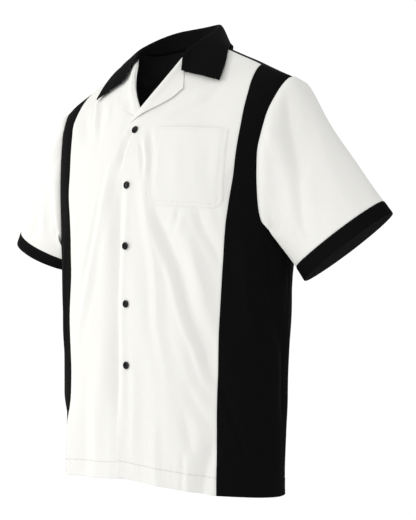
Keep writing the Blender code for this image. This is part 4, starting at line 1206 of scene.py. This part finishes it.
# %% Lapels
LAPEL_WALL = 0.0008
ROLL_RADIUS = 0.0017
for side in SIDES:
    t = spread(56, (0.0, (0.0, .01, .025)), (1.0, EDGE_STEPS))
    if side == "right":
        t = 0.16 + 0.84 * t
    s = spread(30, (0.0, (0.0, .02, .045, .08)), (1.0, EDGE_STEPS))
    fold = [curve(LAPEL["step"], LAPEL["fold_" + axis], t)[:, None] for axis in "xz"]
    edge = [curve(LAPEL["step"], LAPEL["edge_" + axis], t)[:, None] for axis in "xz"]
    x = fold[0] + (edge[0] - fold[0]) * s[None]
    z = fold[1] + (edge[1] - fold[1]) * s[None]
    share = share_of(x, z)
    normal = torso_normal(share, z, -1)
    base = torso(share, z, -1)
    width = np.hypot(edge[0] - fold[0], edge[1] - fold[1])
    from_fold, from_edge = s[None] * width, (1 - s[None]) * width
    rest = LAPEL_WALL + 0.00025
    puff = 0.0032 * ease(width / 0.03) * bell(from_fold - 0.008, 0.010)
    height = rest + puff - 0.00030 * bell(from_edge - 0.006, 0.0011)
    height = height + 0.0020 * bell(from_edge, 0.010) * ease((width - 0.006) / 0.016)
    height = height + drape(*on_side(side, base, normal))
    if side == "right":
        height = height - tuck(x)
    outer = base + normal * height[..., None]
    # the roll: nine more columns that go round the front's edge and under it
    outward = unit(outer[:, 0] - outer[:, 2])
    outward = unit(outward - normal[:, 0] * np.sum(outward * normal[:, 0], -1, keepdims=True))
    rolled, rolled_normal = [], []
    for angle in np.linspace(math.radians(125), math.radians(12), 9):
        way = outward * math.sin(angle) + normal[:, 0] * math.cos(angle)
        rolled.append(outer[:, 0] + (way - normal[:, 0]) * ROLL_RADIUS)
        rolled_normal.append(unit(way))
    outer = np.concatenate([np.stack(rolled, 1), outer], 1)
    normal = np.concatenate([np.stack(rolled_normal, 1), normal], 1)
    outer, normal = on_side(side, outer, normal)
    wall_of_cloth("lapel_cloth_" + side, outer, normal, LAPEL_WALL, WHITE, "lapel_" + side,
                  flip=(side == "right"))

# %% [markdown]
# ## Collar
# A bowling shirt has a one-piece convertible collar: it stands up from the
# neck seam, rolls over and lies down on the shoulders, ending in long points.
# Each column of the grid runs up the stand, over the roll and down the leaf.
# Where the leaf would sink into the shirt it is lifted to lie on top.

# %% Collar
under = [MADE[name] for name in ("back_panel", "white_front_left", "white_front_right", "side_inset_left",
                                 "side_inset_right", "lapel_cloth_left", "lapel_cloth_right")]
body_points = np.concatenate([piece["grid"].reshape(-1, 3) for piece in under])
body_normals = np.concatenate([piece["normal"].reshape(-1, 3) for piece in under])
high_up = body_points[:, 2] > -0.16
body_points, body_normals = body_points[high_up], body_normals[high_up]
tree = kdtree.KDTree(len(body_points))
for i, p in enumerate(body_points):
    tree.insert(Vector(p), i)
tree.balance()


def press(grid, clearance):
    """Lift points that come nearer to the shirt than the clearance."""
    out = grid.reshape(-1, 3).copy()
    clear = np.broadcast_to(clearance, grid.shape[:2]).reshape(-1)
    for i, p in enumerate(out):
        k = tree.find(Vector(p))[1]
        short = clear[i] - (p - body_points[k]).dot(body_normals[k])
        if short > 0 and clear[i] > 0:
            out[i] = p + body_normals[k] * short
    return out.reshape(grid.shape)


def relax(grid, passes):
    """Even out a grid without moving its borders."""
    grid = grid.copy()
    for _ in range(passes):
        around = grid[:-2, 1:-1] + grid[2:, 1:-1] + grid[1:-1, :-2] + grid[1:-1, 2:]
        grid[1:-1, 1:-1] = grid[1:-1, 1:-1] * 0.5 + 0.125 * around
    return grid


STATIONS = spread(64, (1.0, EDGE_STEPS))
UP_STAND = np.linspace(0, 0.96, 15)
DOWN_LEAF = spread(36, (1.0, (0.0, .008, .018, .032, .05, .075)), (0.0, (0.0, .02, .04)))
half = collar_grid(STATIONS, UP_STAND, DOWN_LEAF)
under_end = ease((STATIONS - 0.74) / 0.12)
leaf_lift = 0.0032 + 0.0020 * ease((STATIONS - 0.6) / 0.25)
lift = np.concatenate([np.repeat(0.0052 * under_end[None], len(UP_STAND), 0),
                       np.repeat(leaf_lift[None], len(DOWN_LEAF), 0)])
lift[len(UP_STAND)] *= 0.8
half = relax(press(half, lift), 6)
half = press(half, lift * 0.9)
half[:, 0, 0] = 0.0
grid = np.concatenate([mirror(half[:, :0:-1]), half], 1)
normal = grid_normal(grid)
up, down, start, end = edge_distances(grid)
border = np.minimum(np.minimum(start, end), down)
on_leaf = np.concatenate([np.zeros(len(UP_STAND)), ease(DOWN_LEAF / 0.15)])[:, None]
move = -0.00035 * bell(border - 0.006, 0.0011) * on_leaf
move = move + 0.0005 * bell(border - 0.0025, 0.002) * on_leaf
rng = np.random.default_rng(5)
for _ in range(9):
    turn, length = rng.uniform(0, math.pi), rng.uniform(0.03, 0.09)
    heading = np.array([math.cos(turn), math.sin(turn), rng.normal(0, .4)]) * 2 * math.pi / length
    move = move + 0.00028 * np.sin(grid @ heading + rng.uniform(0, 6)) * on_leaf
grid = grid + normal * move[..., None]
clear = 0.0012 * np.concatenate([np.zeros(len(UP_STAND)), ease((DOWN_LEAF - 0.32) / 0.15)])[:, None]
grid = relax(press(relax(press(grid, clear * 1.5), 8), clear), 4)
normal = grid_normal(grid)
wall_of_cloth("collar_leaf", grid + normal * DOUBLE, normal, DOUBLE, BLACK, "collar")

# %% [markdown]
# ## Breast pocket
# A plain patch with two rounded corners, sewn down with two rows of stitches
# and open at the top. Its mouth stands off a little because it is not sewn.

# %% Pocket
POCKET_WALL = 0.0007
POCKET_ROWS, MOUTH_ROW = (0.0018, 0.0080), 0.0035
width = POCKET["outer_x"] - POCKET["inner_x"]
LINE_STEPS = (0.0, .004, .008, .013)
s = spread(70, (0.0, EDGE_STEPS), (1.0, EDGE_STEPS), (0.055, LINE_STEPS), (0.945, LINE_STEPS))
t = spread(76, (0.0, EDGE_STEPS), (1.0, EDGE_STEPS), (0.060, LINE_STEPS))


def pocket_low(across):
    """Level of the pocket's lower edge, which curves up at both corners."""
    from_side = np.minimum(across, 1 - across) * width / POCKET["corner"]
    rounding = POCKET["corner"] * (1 - np.sqrt(1 - (1 - np.minimum(from_side, 1)) ** 2))
    return POCKET["low_inner"] + (POCKET["low_outer"] - POCKET["low_inner"]) * across + rounding


low = pocket_low(s)
top = POCKET["top_inner"] + (POCKET["top_outer"] - POCKET["top_inner"]) * s
z = low[None] + (top - low)[None] * t[:, None]
x = np.repeat((POCKET["inner_x"] + width * s)[None], len(t), 0)
share = share_of(x, z)
normal = torso_normal(share, z, -1)
base = torso(share, z, -1)
across = np.linspace(0, 1, 241)
outline = [np.stack([POCKET["inner_x"] + width * across, pocket_low(across)], 1)]
for part, end in (("inner", 0.0), ("outer", 1.0)):
    edge_z = np.linspace(pocket_low(end), POCKET["top_" + part], 60)
    outline.append(np.stack([np.full(60, POCKET[part + "_x"]), edge_z], 1))
outline = np.concatenate(outline)
flat = np.stack([x, z], -1).reshape(-1, 1, 2)
sewn = np.sqrt(((flat - outline[None]) ** 2).sum(-1)).min(1).reshape(x.shape)
mouth = top[None] - z
along = np.where(np.abs(x - (POCKET["inner_x"] + width / 2)) > width * 0.44, z, x)
height = POCKET_WALL + 0.00018 + 0.0008 * ease(sewn / 0.02)
height = height + 0.0014 * bell(mouth, 0.028) * ease(sewn / 0.05)
height = height + stitched(sewn, POCKET_ROWS[0], along, 3, 0.00018, 0.00016)
height = height + stitched(sewn, POCKET_ROWS[1], along, 5, 0.00016, 0.00014)
height = height + stitched(mouth, MOUTH_ROW, x, 7, 0.00022, 0.00010) - 0.00035 * bell(sewn, 0.0007)
outer = base + normal * (height + drape(base, normal))[..., None]
wall_of_cloth("breast_pocket", outer, normal, POCKET_WALL, WHITE, "pocket")
MADE["breast_pocket"]["sewn"] = sewn

# %% [markdown]
# ## Buttons
# Shirt buttons are turned discs with a raised rim, a dished face and four
# holes. The disc is a lathe profile; the holes are cut with a boolean, and
# two short stitches of thread cross the dish from hole to hole.

# %% Buttons
# radius and height, from the middle of the back to the middle of the dish
PROFILE = ((0.0000, 0.0002), (0.0046, 0.0002), (0.0056, 0.0006), (0.00625, 0.0012), (0.00628, 0.0016),
           (0.0061, 0.0021), (0.0056, 0.00245), (0.0050, 0.0024), (0.0045, 0.0020), (0.0040, 0.0017),
           (0.0030, 0.00158), (0.0000, 0.00155))
HOLE_RING = 0.0017
HOLES = [(HOLE_RING * math.cos(a), HOLE_RING * math.sin(a))
         for a in math.pi / 4 + np.arange(4) * math.pi / 2]


def turned(name, profile, steps):
    """A profile spun round the upright axis."""
    mesh = bpy.data.meshes.new(name)
    mesh.from_pydata([(r, 0.0, h) for r, h in profile], [(i, i + 1) for i in range(len(profile) - 1)], [])
    thing = add_object(name, mesh)
    lathe = thing.modifiers.new("lathe", "SCREW")
    lathe.axis = "Z"
    lathe.steps = lathe.render_steps = steps
    lathe.use_merge_vertices = True
    lathe.merge_threshold = 1e-5
    lathe.use_normal_calculate = True
    return thing


def finished_mesh(thing):
    """The object's mesh with its modifiers applied."""
    bpy.context.view_layer.update()
    return bpy.data.meshes.new_from_object(thing.evaluated_get(bpy.context.evaluated_depsgraph_get()))


disc = turned("button_disc", PROFILE, 40)
punch = turned("button_punch", ((0.0, -0.001), (0.00062, -0.001), (0.00062, 0.004), (0.0, 0.004)), 14)
shape = finished_mesh(punch)
holes = bpy.data.meshes.new("button_holes")
verts, faces = [], []
for hole_x, hole_y in HOLES:
    start = len(verts)
    verts += [(v.co.x + hole_x, v.co.y + hole_y, v.co.z) for v in shape.vertices]
    faces += [tuple(start + k for k in p.vertices) for p in shape.polygons]
holes.from_pydata(verts, [], faces)
cutter = add_object("button_holes", holes)
cut = disc.modifiers.new("holes", "BOOLEAN")
cut.operation = "DIFFERENCE"
cut.solver = "EXACT"
cut.object = cutter
button_mesh = finished_mesh(disc)
for old in (disc, punch, cutter):
    bpy.data.objects.remove(old, do_unlink=True)
button_mesh.materials.clear()
button_mesh.materials.append(BUTTON)
for poly in button_mesh.polygons:
    poly.use_smooth = True
button_mesh.set_sharp_from_angle(angle=math.radians(38))


# share of a thread's length, rise and thickness there, both in radii
THREAD_RINGS = ((0.0, -0.9, .45), (0.16, 0.1, .95), (0.5, 0.35, 1.0), (0.84, 0.1, .95), (1.0, -0.9, .45))


def capsule(a, b, up, radius, sides=6):
    """A short thread from a to b that dives into the cloth at both ends."""
    axis = unit(b - a)
    out = unit(up - axis * np.dot(up, axis))
    across = np.cross(out, axis)
    points = []
    for share_, rise, fat in THREAD_RINGS:
        centre = a + (b - a) * share_ + out * radius * rise
        for k in range(sides):
            angle = 2 * math.pi * k / sides
            points.append(centre + (across * math.cos(angle) + out * math.sin(angle)) * radius * fat)
    faces_ = [tuple(range(sides))[::-1], tuple(range(4 * sides, 5 * sides))]
    for ring_ in range(4):
        for k in range(sides):
            this, n = ring_ * sides, (k + 1) % sides
            faces_.append((this + k, this + n, this + sides + n, this + sides + k))
    return points, faces_


STITCHES_ON = {}


def thread_object(name, threads, look, radius, on=None):
    """One mesh of many short threads, each given as (start, end, outward)."""
    points, faces_ = [], []
    for a, b, up_ in threads:
        p, f = capsule(np.asarray(a), np.asarray(b), np.asarray(up_), radius)
        faces_ += [tuple(len(points) + i for i in face) for face in f]
        points += p
    mesh = bpy.data.meshes.new(name)
    mesh.from_pydata([tuple(p) for p in points], [], faces_)
    for poly in mesh.polygons:
        poly.use_smooth = True
    mesh.materials.append(look)
    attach(add_object(name, mesh), "root")
    if on:
        STITCHES_ON.setdefault(on, []).append(name)
    print(name, len(threads), "stitches")


BUTTON_TURNS = (0.35, 0.10, 0.62, 0.28, 0.90)
for number, (z, turn) in enumerate(zip(BUTTON_LEVELS, BUTTON_TURNS), 1):
    n = torso_normal(np.array(0.0), np.array(z), -1)
    foot = torso(np.array(0.0), np.array(z), -1)
    foot = foot + n * (drape(foot[None], n[None])[0] + 0.0001)
    thing = add_object("turned_button_%d" % number, button_mesh)
    thing.rotation_euler = (math.atan2(-n[1], n[2]), 0.0, 0.0)
    thing.location = tuple(foot)
    thing.rotation_euler.rotate_axis("Z", turn)
    bpy.context.view_layer.update()
    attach(thing, "root")
    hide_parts("button_%d" % number)
    ends = [np.array(thing.matrix_world @ Vector((x, y, 0.00165))) for x, y in HOLES]
    threads = [(ends[0], ends[1], n), (ends[2], ends[3], n)]
    thread_object("button_thread_%d" % number, threads, BLACK_THREAD, 0.00028)

# %% [markdown]
# ## Stitches
# Rows of short threads hold the hem, the pocket and the bands. Each thread is
# a tiny closed tube that dives into the cloth at both ends and lies in the
# groove that its row pressed. The collar's edge has only a pressed groove.

# %% Stitch rows
def on_cloth(name, rows, cols):
    """Points and normals on a finished piece at fractional grid places."""
    grid_, normal_ = MADE[name]["grid"], MADE[name]["normal"]
    count = grid_.shape[1]
    r0 = np.clip(np.floor(rows).astype(int), 0, grid_.shape[0] - 2)
    if MADE[name]["ring"]:
        c0 = np.floor(cols).astype(int)
        c1 = (c0 + 1) % count
        fc = cols - c0
        c0 = c0 % count
    else:
        c0 = np.clip(np.floor(cols).astype(int), 0, count - 2)
        c1 = c0 + 1
        fc = cols - c0
    fr = rows - r0

    def across(field, row):
        return field[row, c0] * (1 - fc)[:, None] + field[row, c1] * fc[:, None]

    def between_rows(field):
        return across(field, r0) * (1 - fr)[:, None] + across(field, r0 + 1) * fr[:, None]
    return between_rows(grid_), unit(between_rows(normal_))


def stitch_line(points, normals, pitch=0.0031, share=0.74, closed=False):
    """Threads of one length along a line, with small gaps between them."""
    if closed:
        points, normals = np.concatenate([points, points[:1]]), np.concatenate([normals, normals[:1]])
    travel = travelled(points)
    count = max(int(travel[-1] / pitch), 1)
    begin_ = (np.arange(count) + 0.5 * (1 - share)) * travel[-1] / count
    finish_ = begin_ + share * travel[-1] / count

    def at(where_, field):
        return np.stack([np.interp(where_, travel, field[:, i]) for i in range(3)], -1)
    return list(zip(at(begin_, points), at(finish_, points), unit(at(begin_, normals))))


def level_line(name, distance, from_top=False, skip=0):
    """A line across a piece at one distance from its lower or upper edge."""
    grid_ = MADE[name]["grid"]
    up_, down_, _, _ = edge_distances(grid_, MADE[name]["ring"])
    field = down_[::-1] if from_top else up_
    cols = np.arange(skip, grid_.shape[1] - skip)
    rows = np.array([np.interp(distance, field[:, c], np.arange(len(field))) for c in cols])
    if from_top:
        rows = grid_.shape[0] - 1 - rows
    return on_cloth(name, rows, cols.astype(float))


# the white fronts' hem threads carry painted shade in their grey
for name, look in (("white_front_left", HEM_PAINTED_SHADE_THREAD), ("white_front_right", HEM_PAINTED_SHADE_THREAD),
                   ("side_inset_left", BLACK_THREAD), ("side_inset_right", BLACK_THREAD),
                   ("back_panel", BLACK_THREAD)):
    threads = stitch_line(*level_line(name, HEM_TURN))
    thread_object("hem_stitches_" + name, threads, look, 0.00024, on=name)
for side in SIDES:
    threads = stitch_line(*level_line("cuff_band_" + side, 0.0022), closed=True)
    thread_object("band_stitches_" + side, threads, BLACK_THREAD, 0.00024, on="cuff_band_" + side)


def reached(line, wanted):
    """Fractional place in the first half of a line where it reaches a value, or None."""
    i = np.argmax(line[:len(line) // 2] >= wanted)
    if i == 0 or line[i] < wanted:
        return None
    return i - 1 + (wanted - line[i - 1]) / (line[i] - line[i - 1])


def contour(field, wanted, name):
    """The line where a distance field has one value: down one side, along the bottom, up the other."""
    rows_n, cols_n = field.shape
    one, other, bottom = [], [], []
    for r in reversed(range(rows_n)):
        here, there = reached(field[r], wanted), reached(field[r, ::-1], wanted)
        if here is not None:
            one.append((float(r), here))
        if there is not None:
            other.append((float(r), cols_n - 1 - there))
    for c in range(int(one[-1][1]) + 1, int(other[-1][1]) + 1):
        low_row = reached(field[:, c], wanted)
        if low_row is not None:
            bottom.append((low_row, float(c)))
    whole = np.array(one + bottom + other[::-1])
    return on_cloth(name, whole[:, 0], whole[:, 1])


pocket_threads = []
for distance in POCKET_ROWS:
    row = contour(MADE["breast_pocket"]["sewn"], distance, "breast_pocket")
    pocket_threads += stitch_line(*row, pitch=0.0028)
pocket_threads += stitch_line(*level_line("breast_pocket", MOUTH_ROW, from_top=True, skip=3), pitch=0.0028)
thread_object("pocket_stitches", pocket_threads, WHITE_THREAD, 0.00022, on="breast_pocket")

# %% [markdown]
# ## Cloth sizes
# Last, every piece of cloth says how large it was cut, so its area can be
# compared with what was modelled.

# %% Cut sizes
# how it is held, the cut's width and length in metres, and the share of that rectangle that the cut fills
CUTS = {
    "white_front_left": ("hung", 0.225, 0.795, 0.82),
    "white_front_right": ("hung", 0.206, 0.795, 0.85),
    "side_inset_left": ("hung", 0.120, 0.730, 0.71),
    "side_inset_right": ("hung", 0.136, 0.730, 0.71),
    "back_panel": ("hung", 0.640, 0.885, 0.74),
    "sleeve_cloth_left": ("hung", 0.635, 0.268, 0.46),
    "sleeve_cloth_right": ("hung", 0.615, 0.262, 0.42),
    "cuff_band_left": ("stretched", 0.435, 0.024, 1.0),
    "cuff_band_right": ("stretched", 0.415, 0.024, 1.0),
    "lapel_cloth_left": ("folded", 0.080, 0.154, 0.35),
    "lapel_cloth_right": ("folded", 0.080, 0.134, 0.38),
    "collar_leaf": ("folded", 0.515, 0.100, 0.69),
    "breast_pocket": ("hung", 0.136, 0.132, 1.0),
}
for name, (held, width, length, filled) in CUTS.items():
    print(name, "cut", round(width * length * filled, 4), "square metres")
